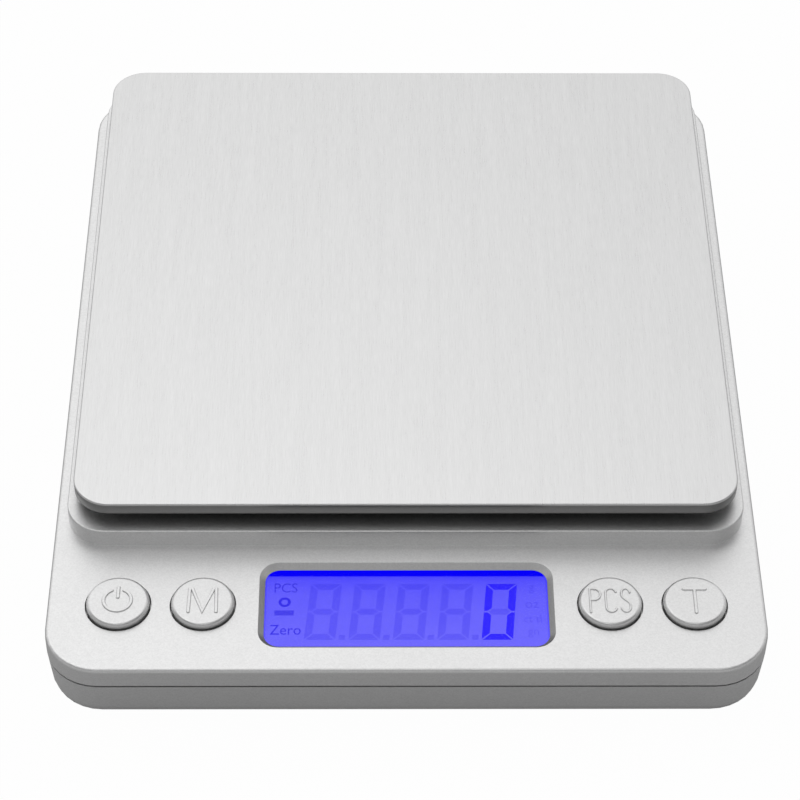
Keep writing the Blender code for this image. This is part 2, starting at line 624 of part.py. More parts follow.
# ------------------------------------------------------------------ circuit board and what is on it
def make_board():
    """The board, notched round the front posts, with its chips and capacitor."""
    board = prism("main_board", "board_green", (0, BOARD_Y), (2 * BOARD_HALF_WIDTH, BOARD_DEPTH),
                  BOARD_CORNER, BOARD_BOTTOM, BOARD_TOP)
    for place, (x, y) in HOUSING_SCREWS.items():
        if y < BOARD_BACK:
            cut(board, cylinder("board_notch_" + place, None, (x, y), POST_RADIUS + FIT,
                                BOARD_BOTTOM - 1, BOARD_TOP + 1))
    for place, (x, y) in BOARD_SCREWS.items():
        cut(board, cylinder("board_hole_" + place, None, (x, y), BOARD_SCREW_RADIUS + FIT,
                            BOARD_BOTTOM - 1, BOARD_TOP + 1))
    box("controller_chip", "black_plastic", (-14.0, PART_ROW_Y), CHIP_SIZE[:2],
        PART_BOTTOM, PART_BOTTOM + CHIP_SIZE[2])
    box("amplifier_chip", "black_plastic", (8.0, PART_ROW_Y), AMPLIFIER_SIZE[:2],
        PART_BOTTOM, PART_BOTTOM + AMPLIFIER_SIZE[2])
    cylinder("capacitor", "blue_sleeve", (26.0, PART_ROW_Y), CAPACITOR_RADIUS,
             PART_BOTTOM, PART_BOTTOM + CAPACITOR_HEIGHT)


def make_switches_and_keys():
    """Under each key a tact switch; the key and the switch's plunger move together."""
    body_top = PART_BOTTOM + SWITCH_HEIGHT
    bore_bottom = PART_BOTTOM + SWITCH_FLOOR
    flange_top = FACE_CEILING - FIT
    flange_bottom = flange_top - KEY_FLANGE_THICKNESS
    stem_bottom = flange_bottom - KEY_STEM_LENGTH
    key_top = FACE_HEIGHT + KEY_PROUD
    profile = [(0.0, key_top)]
    for step in range(FILLET_STEPS + 1):
        angle = math.pi / 2 * (1 - step / FILLET_STEPS)
        profile.append((KEY_RADIUS - KEY_FILLET * (1 - math.cos(angle)),
                        key_top - KEY_FILLET * (1 - math.sin(angle))))
    profile += [(KEY_RADIUS, flange_top), (KEY_RADIUS + KEY_FLANGE, flange_top),
                (KEY_RADIUS + KEY_FLANGE, flange_bottom), (KEY_STEM_RADIUS, flange_bottom),
                (KEY_STEM_RADIUS, stem_bottom), (0.0, stem_bottom)]
    for key, x in KEY_X.items():
        switch = box("switch_" + key, "black_plastic", (x, KEY_Y), (SWITCH_SIDE, SWITCH_SIDE),
                     PART_BOTTOM, body_top)
        cut(switch, cylinder("switch_bore_" + key, None, (x, KEY_Y), PLUNGER_RADIUS + FIT,
                             bore_bottom, body_top + 1))
        cylinder("plunger_" + key, "white_plastic", (x, KEY_Y), PLUNGER_RADIUS,
                 bore_bottom + KEY_TRAVEL + FIT, stem_bottom - FIT)
        turned("button_" + key, "silver_paint", (x, KEY_Y), profile, steps=32)


# ------------------------------------------------------------------ load cell
def make_load_cell():
    """An aluminium beam, thinned by two joined eyes, with silicone over its strain gauges."""
    middle = (0, PLATFORM_CENTRE_Y)
    cell = box("load_cell", "cell_aluminium", middle, (CELL_LENGTH, CELL_WIDTH), CELL_BOTTOM, CELL_TOP)
    height = (CELL_BOTTOM + CELL_TOP) / 2
    for side in both_ends(CELL_EYE_SPACING / 2):
        name = "right" if side > 0 else "left"
        cut(cell, rod_along("cell_eye_" + name, None, "Y", (side, PLATFORM_CENTRE_Y, height),
                            CELL_EYE_RADIUS, CELL_WIDTH + 2))
    cut(cell, box("cell_slot", None, middle, (CELL_EYE_SPACING, CELL_WIDTH + 2), height - 0.6, height + 0.6))
    for end in both_ends(CELL_END):
        for side in both_ends(CELL_HOLE_SPACING / 2):
            cut(cell, cylinder(f"cell_hole_{end + side:.0f}", None, (end + side, PLATFORM_CENTRE_Y),
                               CELL_SCREW_RADIUS + FIT, CELL_BOTTOM - 1, CELL_TOP + 1))
    box("gauge_seal_top", "silicone", middle, SEALANT_SIZE[:2],
        CELL_TOP + FIT, CELL_TOP + FIT + SEALANT_SIZE[2])
    box("gauge_seal_bottom", "silicone", middle, SEALANT_SIZE[:2],
        CELL_BOTTOM - FIT - SEALANT_SIZE[2], CELL_BOTTOM - FIT)


def screw(name, place, seat, tip, radius, head_radius, head_height):
    """A pan head screw: its head stands a gap away from its seat, on the side away from the tip."""
    side = 1 if tip < seat else -1
    under = seat + side * FIT
    end = under + side * head_height
    outline = [(0.0, end), (head_radius, end), (head_radius, under),
               (radius, under), (radius, tip), (0.0, tip)]
    if side < 0:
        outline.reverse()
    turned(name, "zinc_plate", place, outline, steps=20)


# ------------------------------------------------------------------ weighing platform
def make_platform():
    """The folded steel pan, its four adhesive pads and the carrier on the load cell's free end."""
    middle = (0, PLATFORM_CENTRE_Y)
    levels = [(PLATFORM_HEIGHT - PLATFORM_RIM, PLATFORM_SIDE, PLATFORM_SIDE, PLATFORM_CORNER)]
    levels += rounded_top(PLATFORM_SIDE, PLATFORM_SIDE, PLATFORM_CORNER, PLATFORM_HEIGHT, PLATFORM_FOLD, 4)
    pan = loft("weighing_platform", "brushed_steel", middle, levels, open_below=True)
    sheet = pan.modifiers.new("Sheet", "SOLIDIFY")
    sheet.thickness = PLATFORM_SHEET * MM
    sheet.offset = -1
    sheet.use_even_offset = True

    carrier = prism("platform_carrier", "black_plastic", middle, (CARRIER_SIDE, CARRIER_SIDE),
                    CARRIER_CORNER, CARRIER_BOTTOM, CARRIER_TOP)
    join(carrier, box("carrier_neck", None, (-CELL_END, PLATFORM_CENTRE_Y), NECK_SIZE,
                      CELL_TOP + FIT, CARRIER_BOTTOM + BITE))
    for place, side in (("outer", -1), ("inner", 1)):
        at = (-CELL_END + side * CELL_HOLE_SPACING / 2, PLATFORM_CENTRE_Y)
        cut(carrier,
            cylinder("carrier_screw_way_" + place, None, at, CELL_SCREW_RADIUS + FIT, CELL_TOP, CARRIER_TOP),
            cylinder("carrier_counterbore_" + place, None, at, CELL_SCREW_HEAD_RADIUS + FIT,
                     CARRIER_SCREW_SEAT, CARRIER_TOP + 1))
        screw("carrier_screw_" + place, at, CARRIER_SCREW_SEAT, CELL_TOP - CELL_SCREW_BITE,
              CELL_SCREW_RADIUS, CELL_SCREW_HEAD_RADIUS, CELL_SCREW_HEAD_HEIGHT)
        screw("cell_screw_" + place, (CELL_END - side * CELL_HOLE_SPACING / 2, PLATFORM_CENTRE_Y),
              CELL_SCREW_SEAT, CELL_BOTTOM + CELL_SCREW_BITE,
              CELL_SCREW_RADIUS, CELL_SCREW_HEAD_RADIUS, CELL_SCREW_HEAD_HEIGHT)

    pad_bottom = CARRIER_TOP + FIT
    for name, side_x, side_y in (("front_left", -1, -1), ("front_right", 1, -1),
                                 ("rear_left", -1, 1), ("rear_right", 1, 1)):
        place = (side_x * PAD_OFFSET, PLATFORM_CENTRE_Y + side_y * PAD_OFFSET)
        box("adhesive_pad_" + name, "foam_tape", place, (PAD_SIDE, PAD_SIDE),
            pad_bottom, pad_bottom + PAD_THICKNESS)


# ------------------------------------------------------------------ batteries and wiring
def make_batteries():
    """Two cells lying opposite ways, a bridge at their right ends and two contacts at their left."""
    wall = BAY_LENGTH / 2
    plate = wall - FIT - CONTACT_THICKNESS / 2          # middle of a contact plate from the bay's centre
    touch = wall - 2 * FIT - CONTACT_THICKNESS          # where a cell or spring meets a plate
    shoulder = touch - BATTERY_NUB_LENGTH
    plate_low, plate_high = BATTERY_Z - CONTACT_SIZE[1] / 2, BATTERY_Z + CONTACT_SIZE[1] / 2
    box("battery_bridge", "nickel_strip", (plate, BAY_MIDDLE_Y),
        (CONTACT_THICKNESS, BATTERY_PITCH + CONTACT_SIZE[0]), plate_low, plate_high)
    profile = [(0.0, BATTERY_LENGTH / 2 + BATTERY_NUB_LENGTH),
               (BATTERY_NUB_RADIUS, BATTERY_LENGTH / 2 + BATTERY_NUB_LENGTH),
               (BATTERY_NUB_RADIUS, BATTERY_LENGTH / 2),
               (BATTERY_RADIUS - 0.4, BATTERY_LENGTH / 2),
               (BATTERY_RADIUS, BATTERY_LENGTH / 2 - 0.4),
               (BATTERY_RADIUS, 0.4 - BATTERY_LENGTH / 2),
               (BATTERY_RADIUS - 0.4, -BATTERY_LENGTH / 2),
               (0.0, -BATTERY_LENGTH / 2)]
    for name, side in (("front", -1), ("rear", 1)):
        y = BAY_MIDDLE_Y + side * BATTERY_PITCH / 2
        points_to = -side                               # the way its positive end faces
        cell = turned("battery_" + name, "battery_wrap",
                      (points_to * (shoulder - BATTERY_LENGTH / 2), y, BATTERY_Z), profile, steps=32)
        cell.rotation_euler.y = points_to * math.radians(90)
        box("battery_contact_" + name, "nickel_strip", (-plate, y), (CONTACT_THICKNESS, CONTACT_SIZE[0]),
            plate_low, plate_high)

        spring_start = touch - SPRING_WIRE
        spring_end = BATTERY_LENGTH - shoulder + FIT + SPRING_WIRE
        steps = SPRING_STEPS * SPRING_TURNS
        coil = []
        for step in range(steps + 1):
            along = step / steps
            angle = 2 * math.pi * SPRING_TURNS * along
            radius = SPRING_BASE_RADIUS + (SPRING_TIP_RADIUS - SPRING_BASE_RADIUS) * along
            coil.append((-points_to * (spring_start + (spring_end - spring_start) * along),
                         y + radius * math.cos(angle), BATTERY_Z + radius * math.sin(angle)))
        tube("battery_spring_" + name, "nickel_strip", coil, SPRING_WIRE)


def make_wiring():
    """Two battery leads and the load cell's cable, each soldered down on the board."""
    left = -BAY_LENGTH / 2
    front, rear = BAY_MIDDLE_Y - BATTERY_PITCH / 2, BAY_MIDDLE_Y + BATTERY_PITCH / 2
    low = FLOOR_TOP + FIT + LEAD_RADIUS + 0.2
    tube("battery_lead_black", "black_wire", smooth_route([
        (left, front, LEAD_HEIGHT), (left - 3.0, front, LEAD_HEIGHT), (left - 5.5, front - 2.5, 8.0),
        (left - 5.5, front - 10.5, low + 0.3), (left - 5.2, PLATFORM_CENTRE_Y - 10.2, low),
        (left - 4.2, BOARD_BACK + 8.0, low + 1.0),
        (left - 3.2, BOARD_BACK + 1.0, 7.0), (left - 3.2, PART_ROW_Y + 1.2, 7.0),
        (left - 3.2, PART_ROW_Y + 0.2, PART_BOTTOM)]), LEAD_RADIUS)
    tube("battery_lead_red", "red_wire", smooth_route([
        (left, rear, LEAD_HEIGHT), (left - 3.4, rear, LEAD_HEIGHT), (left - 4.8, rear - 4.0, 8.5),
        (left - 7.8, rear - 16.1, low + 0.3), (left - 7.8, PLATFORM_CENTRE_Y - 10.2, low),
        (left - 6.8, BOARD_BACK + 8.0, low + 1.0),
        (left - 6.2, BOARD_BACK + 1.0, 7.0), (left - 6.2, PART_ROW_Y + 1.2, 7.0),
        (left - 6.2, PART_ROW_Y + 0.2, PART_BOTTOM)]), LEAD_RADIUS)
    cell_front = PLATFORM_CENTRE_Y - CELL_WIDTH / 2
    low = FLOOR_TOP + FIT + CABLE_RADIUS + 0.2
    tube("load_cell_cable", "grey_cable", smooth_route([
        (CELL_END, cell_front - FIT, 8.0), (CELL_END, cell_front - 3.5, 7.6),
        (CELL_END + 1.0, cell_front - 14.2, low + 0.8), (CELL_END - 1.0, BOARD_BACK + 11.0, low),
        (CELL_END - 3.0, BOARD_BACK + 2.0, 7.2), (CELL_END - 3.5, PART_ROW_Y + 1.6, 7.4),
        (CELL_END - 3.5, PART_ROW_Y + 0.2, PART_BOTTOM)]), CABLE_RADIUS)


# ------------------------------------------------------------------ battery door
def make_battery_door():
    """A snap-in door: a round knuckle with two pins at its back edge, and a latch at its front."""
    plate_depth = HINGE_Y - DOOR_FRONT
    door = box("battery_door", "silver_paint", (0, DOOR_FRONT + plate_depth / 2),
               (DOOR_LENGTH, plate_depth), LOWER_BOTTOM, LOWER_BOTTOM + DOOR_THICKNESS)
    join(door,
         rod_along("door_knuckle", None, "X", (0, HINGE_Y, HINGE_Z), KNUCKLE_RADIUS, DOOR_LENGTH),
         rod_along("door_pins", None, "X", (0, HINGE_Y, HINGE_Z), HINGE_PIN_RADIUS,
                   DOOR_LENGTH + 2 * HINGE_PIN_LENGTH, steps=16),
         box("door_latch", None, (0, LATCH_Y), LATCH_SIZE[:2], FLOOR_TOP - BITE, LATCH_TOP))
    hang_on("battery_door_hinge", (0, HINGE_Y, HINGE_Z), door)


def hang_on(name, place, *pieces):
    """Parent pieces to an empty that stands on their joint's axis."""
    joint = bpy.data.objects.new(name, None)
    joint.location = [value * MM for value in place]
    SCALE.objects.link(joint)
    bpy.context.view_layer.update()
    for piece in pieces:
        piece.parent = joint
        piece.matrix_parent_inverse = joint.matrix_world.inverted()


# ------------------------------------------------------------------ feet and fasteners
def make_feet_and_screws():
    """Four rubber feet, the housing screws that come up from below, and the board's screws."""
    foot_top = LOWER_BOTTOM + FOOT_RECESS - FIT
    for place, at in FOOT_PLACES.items():
        turned("foot_" + place, "black_rubber", at,
               [(0.0, foot_top), (FOOT_RADIUS, foot_top), (FOOT_RADIUS, 0.2), (FOOT_RADIUS - 0.2, 0.0),
                (0.0, 0.0)], steps=32)
    for place, at in HOUSING_SCREWS.items():
        screw("housing_screw_" + place, at, SCREW_SEAT, SCREW_TOP,
              SCREW_RADIUS, SCREW_HEAD_RADIUS, SCREW_HEAD_HEIGHT)
    for place, at in BOARD_SCREWS.items():
        screw("board_screw_" + place, at, BOARD_TOP, PART_BOTTOM - BOARD_SCREW_LENGTH,
              BOARD_SCREW_RADIUS, BOARD_SCREW_HEAD_RADIUS, BOARD_SCREW_HEAD_HEIGHT)


make_upper_housing()
make_lower_housing()
make_display()
make_board()
make_switches_and_keys()
make_load_cell()
make_platform()
make_batteries()
make_wiring()
make_battery_door()
make_feet_and_screws()
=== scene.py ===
# %% [markdown]
# # A digital gram scale, from plain solids to a finished picture
#
# A gram scale of this kind weighs glazes and oxides in a pottery. It has a brushed steel platform on a
# two-part silver housing, a blue lit display and four round keys. The working model, with every piece
# down to the screws, is loaded first as a fixed frame. The cells after it build the surfaces that a
# person sees: smooth shells, raised key symbols, the display's figures, brushed and painted finishes.

import json
import math

import bmesh
import bpy
from mathutils import Matrix, Vector


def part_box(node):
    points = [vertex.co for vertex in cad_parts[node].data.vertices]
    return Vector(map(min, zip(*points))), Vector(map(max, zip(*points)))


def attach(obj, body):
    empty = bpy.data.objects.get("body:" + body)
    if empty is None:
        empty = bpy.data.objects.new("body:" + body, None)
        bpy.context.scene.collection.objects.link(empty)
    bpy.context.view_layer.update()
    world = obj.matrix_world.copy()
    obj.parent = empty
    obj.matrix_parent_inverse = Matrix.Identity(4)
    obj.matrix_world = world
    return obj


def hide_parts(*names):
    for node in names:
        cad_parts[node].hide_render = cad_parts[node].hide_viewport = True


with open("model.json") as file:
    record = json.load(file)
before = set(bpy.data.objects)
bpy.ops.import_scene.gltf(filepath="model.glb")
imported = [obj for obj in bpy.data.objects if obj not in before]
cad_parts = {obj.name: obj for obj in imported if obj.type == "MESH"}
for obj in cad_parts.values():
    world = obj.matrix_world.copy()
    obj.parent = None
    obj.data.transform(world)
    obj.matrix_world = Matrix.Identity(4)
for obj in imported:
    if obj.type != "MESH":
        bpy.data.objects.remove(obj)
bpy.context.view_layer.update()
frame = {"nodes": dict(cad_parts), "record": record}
MM = 0.001
print("nodes:", len(frame["nodes"]))


# %% [markdown]
# ## The camera
#
# The scale is seen from in front and above, a little from the left, through a long lens. A long lens
# from half a metre away keeps the far edge of the platform nearly as wide as the near one. The camera's
# direction is worked out from three angles, which say more to a reader than a matrix does.

# %% Place the camera
CAMERA_PLACE = Vector((-0.00457, -0.30082, 0.32079))
CAMERA_DOWN = math.radians(46.694)
CAMERA_YAW = math.radians(0.757)
CAMERA_ROLL = math.radians(0.551)
LENS = 120.74


def look_matrix(place, down, yaw, roll):
    """A camera's matrix from how far it looks down, turns right and leans."""
    ahead = Vector((math.sin(yaw) * math.cos(down), math.cos(yaw) * math.cos(down), -math.sin(down)))
    level = ahead.cross(Vector((0, 0, 1))).normalized()
    above = level.cross(ahead)
    right = level * math.cos(roll) + above * math.sin(roll)
    up = above * math.cos(roll) - level * math.sin(roll)
    turn = Matrix((right, up, -ahead)).transposed()
    return Matrix.Translation(place) @ turn.to_4x4()


camera_data = bpy.data.cameras.new("camera")
camera_data.lens = LENS
camera_data.sensor_width = 36
camera_data.clip_start = 0.01
camera = bpy.data.objects.new("camera", camera_data)
camera.matrix_world = look_matrix(CAMERA_PLACE, CAMERA_DOWN, CAMERA_YAW, CAMERA_ROLL)
bpy.context.scene.collection.objects.link(camera)
bpy.context.scene.camera = camera
print("camera", round(CAMERA_PLACE.length * 1000), "mm from the origin")


# %% [markdown]
# ## Small helpers for node trees
#
# Each finish below is a tree of shader nodes. Writing `nodes.new` and `links.new` for every node hides
# what the tree does, so a short class keeps one line for each node: its kind, its values and what feeds
# it. A value may be a number, a colour or another node's output.

# %% A small node tree writer
class Tree:
    """Adds nodes to a material's or world's tree, one call a node."""

    def __init__(self, owner):
        owner.use_nodes = True
        self.tree = owner.node_tree
        self.tree.nodes.clear()

    def add(self, kind, settings=None, **values):
        """A node with its settings (attributes) and values (inputs); returns the node."""
        node = self.tree.nodes.new(kind)
        for name, value in (settings or {}).items():
            setattr(node, name, value)
        for name, value in values.items():
            self.feed(node, name.replace("_", " "), value)
        return node

    def feed(self, node, name, value):
        """Set an input, found by its number or its name, or link an output to it."""
        socket = node.inputs[int(name[1:])] if name[0] == "i" and name[1:].isdigit() else node.inputs[name]
        if isinstance(value, bpy.types.Node):
            value = value.outputs[0]
        if isinstance(value, bpy.types.NodeSocket):
            self.tree.links.new(value, socket)
        else:
            socket.default_value = value

    def maths(self, operation, first, second=0.0, clamp=False):
        """One Math node."""
        return self.add("ShaderNodeMath", {"operation": operation, "use_clamp": clamp}, i0=first, i1=second)

    def between(self, amount, start, end):
        """A value that runs from start to end as amount goes from 0 to 1."""
        return self.add("ShaderNodeMapRange", i0=amount, i3=start, i4=end)

    def blend(self, amount, colour_a, colour_b):
        """A colour that runs from one to the other."""
        node = self.add("ShaderNodeMix", {"data_type": "RGBA"})
        self.feed(node, "i0", amount)
        self.feed(node, "i6", colour_a)
        self.feed(node, "i7", colour_b)
        return node.outputs[2]

    def places(self, scale=(1, 1, 1), turn=0.0):
        """Object coordinates in millimetres, stretched by scale and turned about Z."""
        source = self.add("ShaderNodeTexCoord")
        mapping = self.add("ShaderNodeMapping", Scale=tuple(1000 * s for s in scale), Rotation=(0, 0, turn))
        self.tree.links.new(source.outputs["Object"], mapping.inputs["Vector"])
        return mapping


def grey(value, alpha=1.0):
    return (value, value, value, alpha)


def principled(name, **values):
    """A material with one Principled shader, its tree, and the shader to feed."""
    material = bpy.data.materials.new(name)
    tree = Tree(material)
    shader = tree.add("ShaderNodeBsdfPrincipled")
    for label, value in values.items():
        tree.feed(shader, label.replace("_", " "), value)
    output = tree.add("ShaderNodeOutputMaterial")
    tree.tree.links.new(shader.outputs[0], output.inputs["Surface"])
    return material, tree, shader


print("helpers ready")


# %% [markdown]
# ## The bench
#
# The upright edges of the housing mirror the bench in front of them. A bench as white as it looks to the
# camera would wash those edges out, and a dark one would show behind the scale. A Light Path node gives
# the floor two looks: nearly white to the camera, and dim to every other ray.

# %% Lay the floor
FLOOR_SIDE = 3.0
FLOOR_DROP = 0.3 * MM
BENCH_TONE, BENCH_GLOW = 0.35, 0.105
SHADOW_SHARE = 0.02


def make_floor():
    """One big square just under the feet."""
    shape = bmesh.new()
    bmesh.ops.create_grid(shape, x_segments=8, y_segments=8, size=FLOOR_SIDE / 2,
                          matrix=Matrix.Translation((0, 0, -FLOOR_DROP)))
    mesh = bpy.data.meshes.new("floor")
    shape.to_mesh(mesh)
    shape.free()
    floor = bpy.data.objects.new("floor", mesh)
    bpy.context.scene.collection.objects.link(floor)
    material = bpy.data.materials.new("white bench")
    tree = Tree(material)
    path = tree.add("ShaderNodeLightPath")
    bench = tree.add("ShaderNodeBsdfDiffuse", Color=grey(BENCH_TONE))
    bench_glow = tree.add("ShaderNodeEmission", Color=grey(1.0), Strength=BENCH_GLOW)
    dim = tree.add("ShaderNodeAddShader", i0=bench, i1=bench_glow)
    white = tree.add("ShaderNodeEmission", Color=grey(1.0), Strength=1.0)
    shaded = tree.add("ShaderNodeBsdfDiffuse", Color=grey(0.9))
    seen = tree.add("ShaderNodeMixShader", i0=SHADOW_SHARE, i1=white, i2=shaded)
    both = tree.add("ShaderNodeMixShader", i0=path.outputs["Is Camera Ray"], i1=dim, i2=seen)
    tree.add("ShaderNodeOutputMaterial", Surface=both)
    mesh.materials.append(material)


make_floor()
print("floor", FLOOR_SIDE, "m wide,", round(FLOOR_DROP / MM, 1), "mm under the feet")


# %% [markdown]
# ## The sky
#
# The housing is a metallic silver, so it shows the room more than its own colour. A room of several area
# lights would do, but their outlines show in every flat face. The room here is a sky painted by
# direction instead. It grows brighter towards the top, is full strength behind the scale, much weaker
# in front of it and a little weaker to the right, and has a pale band low down all round, which lights
# the upright sides.

# %% Paint the sky
SKY_LOW, SKY_TOP = 0.04, 1.48
SKY_FRONT, SKY_RIGHT = 0.24, 0.80
FRONT_ENDS, BACK_STARTS = 0.08, 0.5
LEFT_ENDS, RIGHT_STARTS = -0.05, 0.3
BAND_LIGHT = 0.45
BAND_FULL, BAND_GONE = 0.32, 0.6
SMOOTH = {"interpolation_type": "SMOOTHSTEP"}


def make_sky():
    """A soft room round the scale, plain white to the camera."""
    world = bpy.data.worlds.new("studio")
    bpy.context.scene.world = world
    tree = Tree(world)
    source = tree.add("ShaderNodeTexCoord")
    way = tree.add("ShaderNodeSeparateXYZ", i0=source.outputs["Generated"])
    across, along, up = (way.outputs[axis] for axis in "XYZ")
    height = tree.add("ShaderNodeMapRange", i0=up, i1=0.0, i2=1.0, i3=SKY_LOW, i4=SKY_TOP)
    behind = tree.add("ShaderNodeMapRange", SMOOTH, i0=along, i1=FRONT_ENDS, i2=BACK_STARTS,
                      i3=SKY_FRONT, i4=1.0)
    right = tree.add("ShaderNodeMapRange", SMOOTH, i0=across, i1=LEFT_ENDS, i2=RIGHT_STARTS,
                     i3=1.0, i4=SKY_RIGHT)
    above = tree.maths("MULTIPLY", tree.maths("MULTIPLY", height, behind), right)
    band = tree.add("ShaderNodeMapRange", SMOOTH, i0=up, i1=BAND_FULL, i2=BAND_GONE,
                    i3=BAND_LIGHT, i4=0.0)
    strength = tree.maths("ADD", above, band)
    path = tree.add("ShaderNodeLightPath")
    room = tree.add("ShaderNodeBackground", Color=grey(1.0), Strength=strength)
    backdrop = tree.add("ShaderNodeBackground", Color=grey(1.0), Strength=1.0)
    both = tree.add("ShaderNodeMixShader", i0=path.outputs["Is Camera Ray"], i1=room, i2=backdrop)
    tree.add("ShaderNodeOutputWorld", Surface=both)


make_sky()
bpy.context.scene.view_settings.view_transform = "Standard"
print("sky from", SKY_LOW, "low down to", SKY_TOP, "overhead")


# %% [markdown]
# ## Two small softboxes
#
# The sky alone is so even that fine edges would hardly show. Two weak area lights give them a glint: a
# square one from the upper left, and a long narrow one in front, which draws a line along each edge that
# faces it.

# %% Hang the softboxes
def make_softbox(name, place, size, power):
    """A rectangular area light that faces the scale."""
    data = bpy.data.lights.new(name, "AREA")
    data.shape = "RECTANGLE"
    data.size, data.size_y = size
    data.energy = power
    light = bpy.data.objects.new(name, data)
    place = Vector(place)
    facing = (-place).to_track_quat("-Z", "Y").to_matrix().to_4x4()
    light.matrix_world = Matrix.Translation(place) @ facing
    bpy.context.scene.collection.objects.link(light)
    print(name, power, "W")


make_softbox("top softbox", (-0.25, 0.1, 0.9), (0.35, 0.35), 0.4)
make_softbox("edge light", (0.0, -0.36, 0.85), (0.5, 0.14), 0.35)


# %% [markdown]
# ## Brushed steel
#
# Brushed sheet gets its look from thousands of fine scratches that all run one way, here from front to
# back. A picture of scratches would show its joins, so a noise texture is stretched twenty times along Y
# instead. It changes the roughness, the colour and a very small bump together, so a lit scratch is also
# a rough one. The rim that is folded down below the polished top is painted darker, as painted shade
# for the dim surroundings that it mirrors.

# %% Brushed steel
RIM_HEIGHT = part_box("weighing_platform")[1][2] - 0.4 * MM
# painted shade: the folded rim's colour is multiplied by this, for the dim surroundings that it mirrors
RIM_PAINTED_SHADE = 0.36
RIM_BLEND = 0.2 * MM
GRAIN_STRETCH = 20


def make_brushed_steel(name, along_y=True, rim_shade=1.0, rim_height=0.0):
    """Stainless sheet with a long grain; below rim_height its colour is darkened as painted shade."""
    material, tree, shader = principled(name, Metallic=1.0)
    long_way = 1 / GRAIN_STRETCH
    stretch = (1.0, long_way, 1.0) if along_y else (long_way, 1.0, 1.0)
    fine = tree.add("ShaderNodeTexNoise", Vector=tree.places([7.0 * s for s in stretch]), Scale=1.0,
                    Detail=3.0, Roughness=0.65)
    broad = tree.add("ShaderNodeTexNoise", Vector=tree.places([1.5 * s for s in stretch]), Scale=1.0,
                     Detail=2.0)
    grain = tree.maths("ADD", tree.maths("MULTIPLY", fine, 0.7), tree.maths("MULTIPLY", broad, 0.3))
    even = tree.add("ShaderNodeMapRange", i0=grain, i1=0.3, i2=0.7, i3=0.0, i4=1.0)
    source = tree.add("ShaderNodeTexCoord")
    level = tree.add("ShaderNodeSeparateXYZ", i0=source.outputs["Object"]).outputs["Z"]
    # painted shade: below rim_height the colour falls to the rim's darker factor
    rim = tree.add("ShaderNodeMapRange", i0=level, i1=rim_height, i2=rim_height + RIM_BLEND,
                   i3=rim_shade, i4=1.0)
    bright = tree.blend(even, grey(0.69), grey(0.80))
    toned = tree.add("ShaderNodeMix", {"data_type": "RGBA", "blend_type": "MULTIPLY"}, i0=1.0, i6=bright)
    tree.feed(toned, "i7", rim)
    tree.feed(shader, "Base Color", toned.outputs[2])
    tree.feed(shader, "Roughness", tree.between(even, 0.26, 0.34))
    bump = tree.add("ShaderNodeBump", Strength=0.05, Distance=0.00005, Height=even)
    tree.feed(shader, "Normal", bump)
    return material


FINISH = {
    "brushed_steel": make_brushed_steel("brushed stainless", rim_shade=RIM_PAINTED_SHADE, rim_height=RIM_HEIGHT),
    "cell_aluminium": make_brushed_steel("milled aluminium", along_y=False),
}
print("brushed finishes:", ", ".join(FINISH))


# %% [markdown]
# ## Silver paint
#
# Silver paint is metal flakes in clear lacquer. A cell texture with cells of a fifth of a millimetre gives
# every flake its own tone and roughness, and a soft noise adds the faint orange peel of a sprayed coat.
# The tray has a coarser, duller coat than the face, and the keys a smoother one.

# %% Silver paint
def make_silver_paint(name, base=0.84, roughness=0.42, flake=5.0, lumps=0.05):
    """Metallic paint on moulded plastic: flakes, and the faint orange peel of sprayed lacquer."""
    material, tree, shader = principled(name, Metallic=1.0)
    flakes = tree.add("ShaderNodeTexVoronoi", Vector=tree.places((flake, flake, flake)), Scale=1.0)
    tone = tree.add("ShaderNodeSeparateColor", i0=flakes.outputs["Color"])
    tree.feed(shader, "Base Color", tree.blend(tone.outputs[0], grey(base - 0.035), grey(base + 0.035)))
    cloud = tree.add("ShaderNodeTexNoise", Vector=tree.places((0.08, 0.08, 0.08)), Scale=1.0, Detail=3.0)
    rough = tree.maths("ADD", tree.between(cloud, roughness - 0.03, roughness + 0.03),
                       tree.between(tone.outputs[1], -0.03, 0.03))
    tree.feed(shader, "Roughness", rough)
    peel = tree.add("ShaderNodeTexNoise", Vector=tree.places((1.6, 1.6, 1.6)), Scale=1.0, Detail=2.0)
    height = tree.maths("ADD", tree.maths("MULTIPLY", peel, 0.6),
                        tree.maths("MULTIPLY", tone.outputs[2], 0.4))
    bump = tree.add("ShaderNodeBump", Strength=lumps, Distance=0.00008, Height=height)
    tree.feed(shader, "Normal", bump)
    return material


FINISH["silver_paint"] = make_silver_paint("silver paint")
FINISH["lower_paint"] = make_silver_paint("silver paint on the tray", base=0.80, roughness=0.48, lumps=0.12)
FINISH["key_paint"] = make_silver_paint("silver paint on the keys", base=0.79, roughness=0.38)
print("coats of paint: 3")


# %% [markdown]
# ## Mouldings, rubber, plating and wire
#
# Most parts inside are moulded, cast or plated. What tells them apart is colour, shine and the size of
# their grain, so one function with those three as inputs serves them all, and each finish is one line.

# %% Moulded plastics, rubber, plated metal and wire
def make_moulded(name, colour, roughness=0.5, grain=6.0, depth=0.15, metallic=0.0, spread=0.15):
    """A moulded or cast surface: a spark-eroded grain and slight changes of tone."""
    material, tree, shader = principled(name, Metallic=metallic)
    speck = tree.add("ShaderNodeTexNoise", Vector=tree.places((grain, grain, grain)), Scale=1.0, Detail=4.0)
    cloud = tree.add("ShaderNodeTexNoise", Vector=tree.places((0.3, 0.3, 0.3)), Scale=1.0, Detail=2.0)
    dark = tuple(c * (1 - spread) for c in colour) + (1.0,)
    light = tuple(min(1.0, c * (1 + spread)) for c in colour) + (1.0,)
    tree.feed(shader, "Base Color", tree.blend(cloud, dark, light))
    tree.feed(shader, "Roughness", tree.between(speck, roughness - 0.08, roughness + 0.08))
    bump = tree.add("ShaderNodeBump", Strength=depth, Distance=0.00005, Height=speck)
    tree.feed(shader, "Normal", bump)
    return material


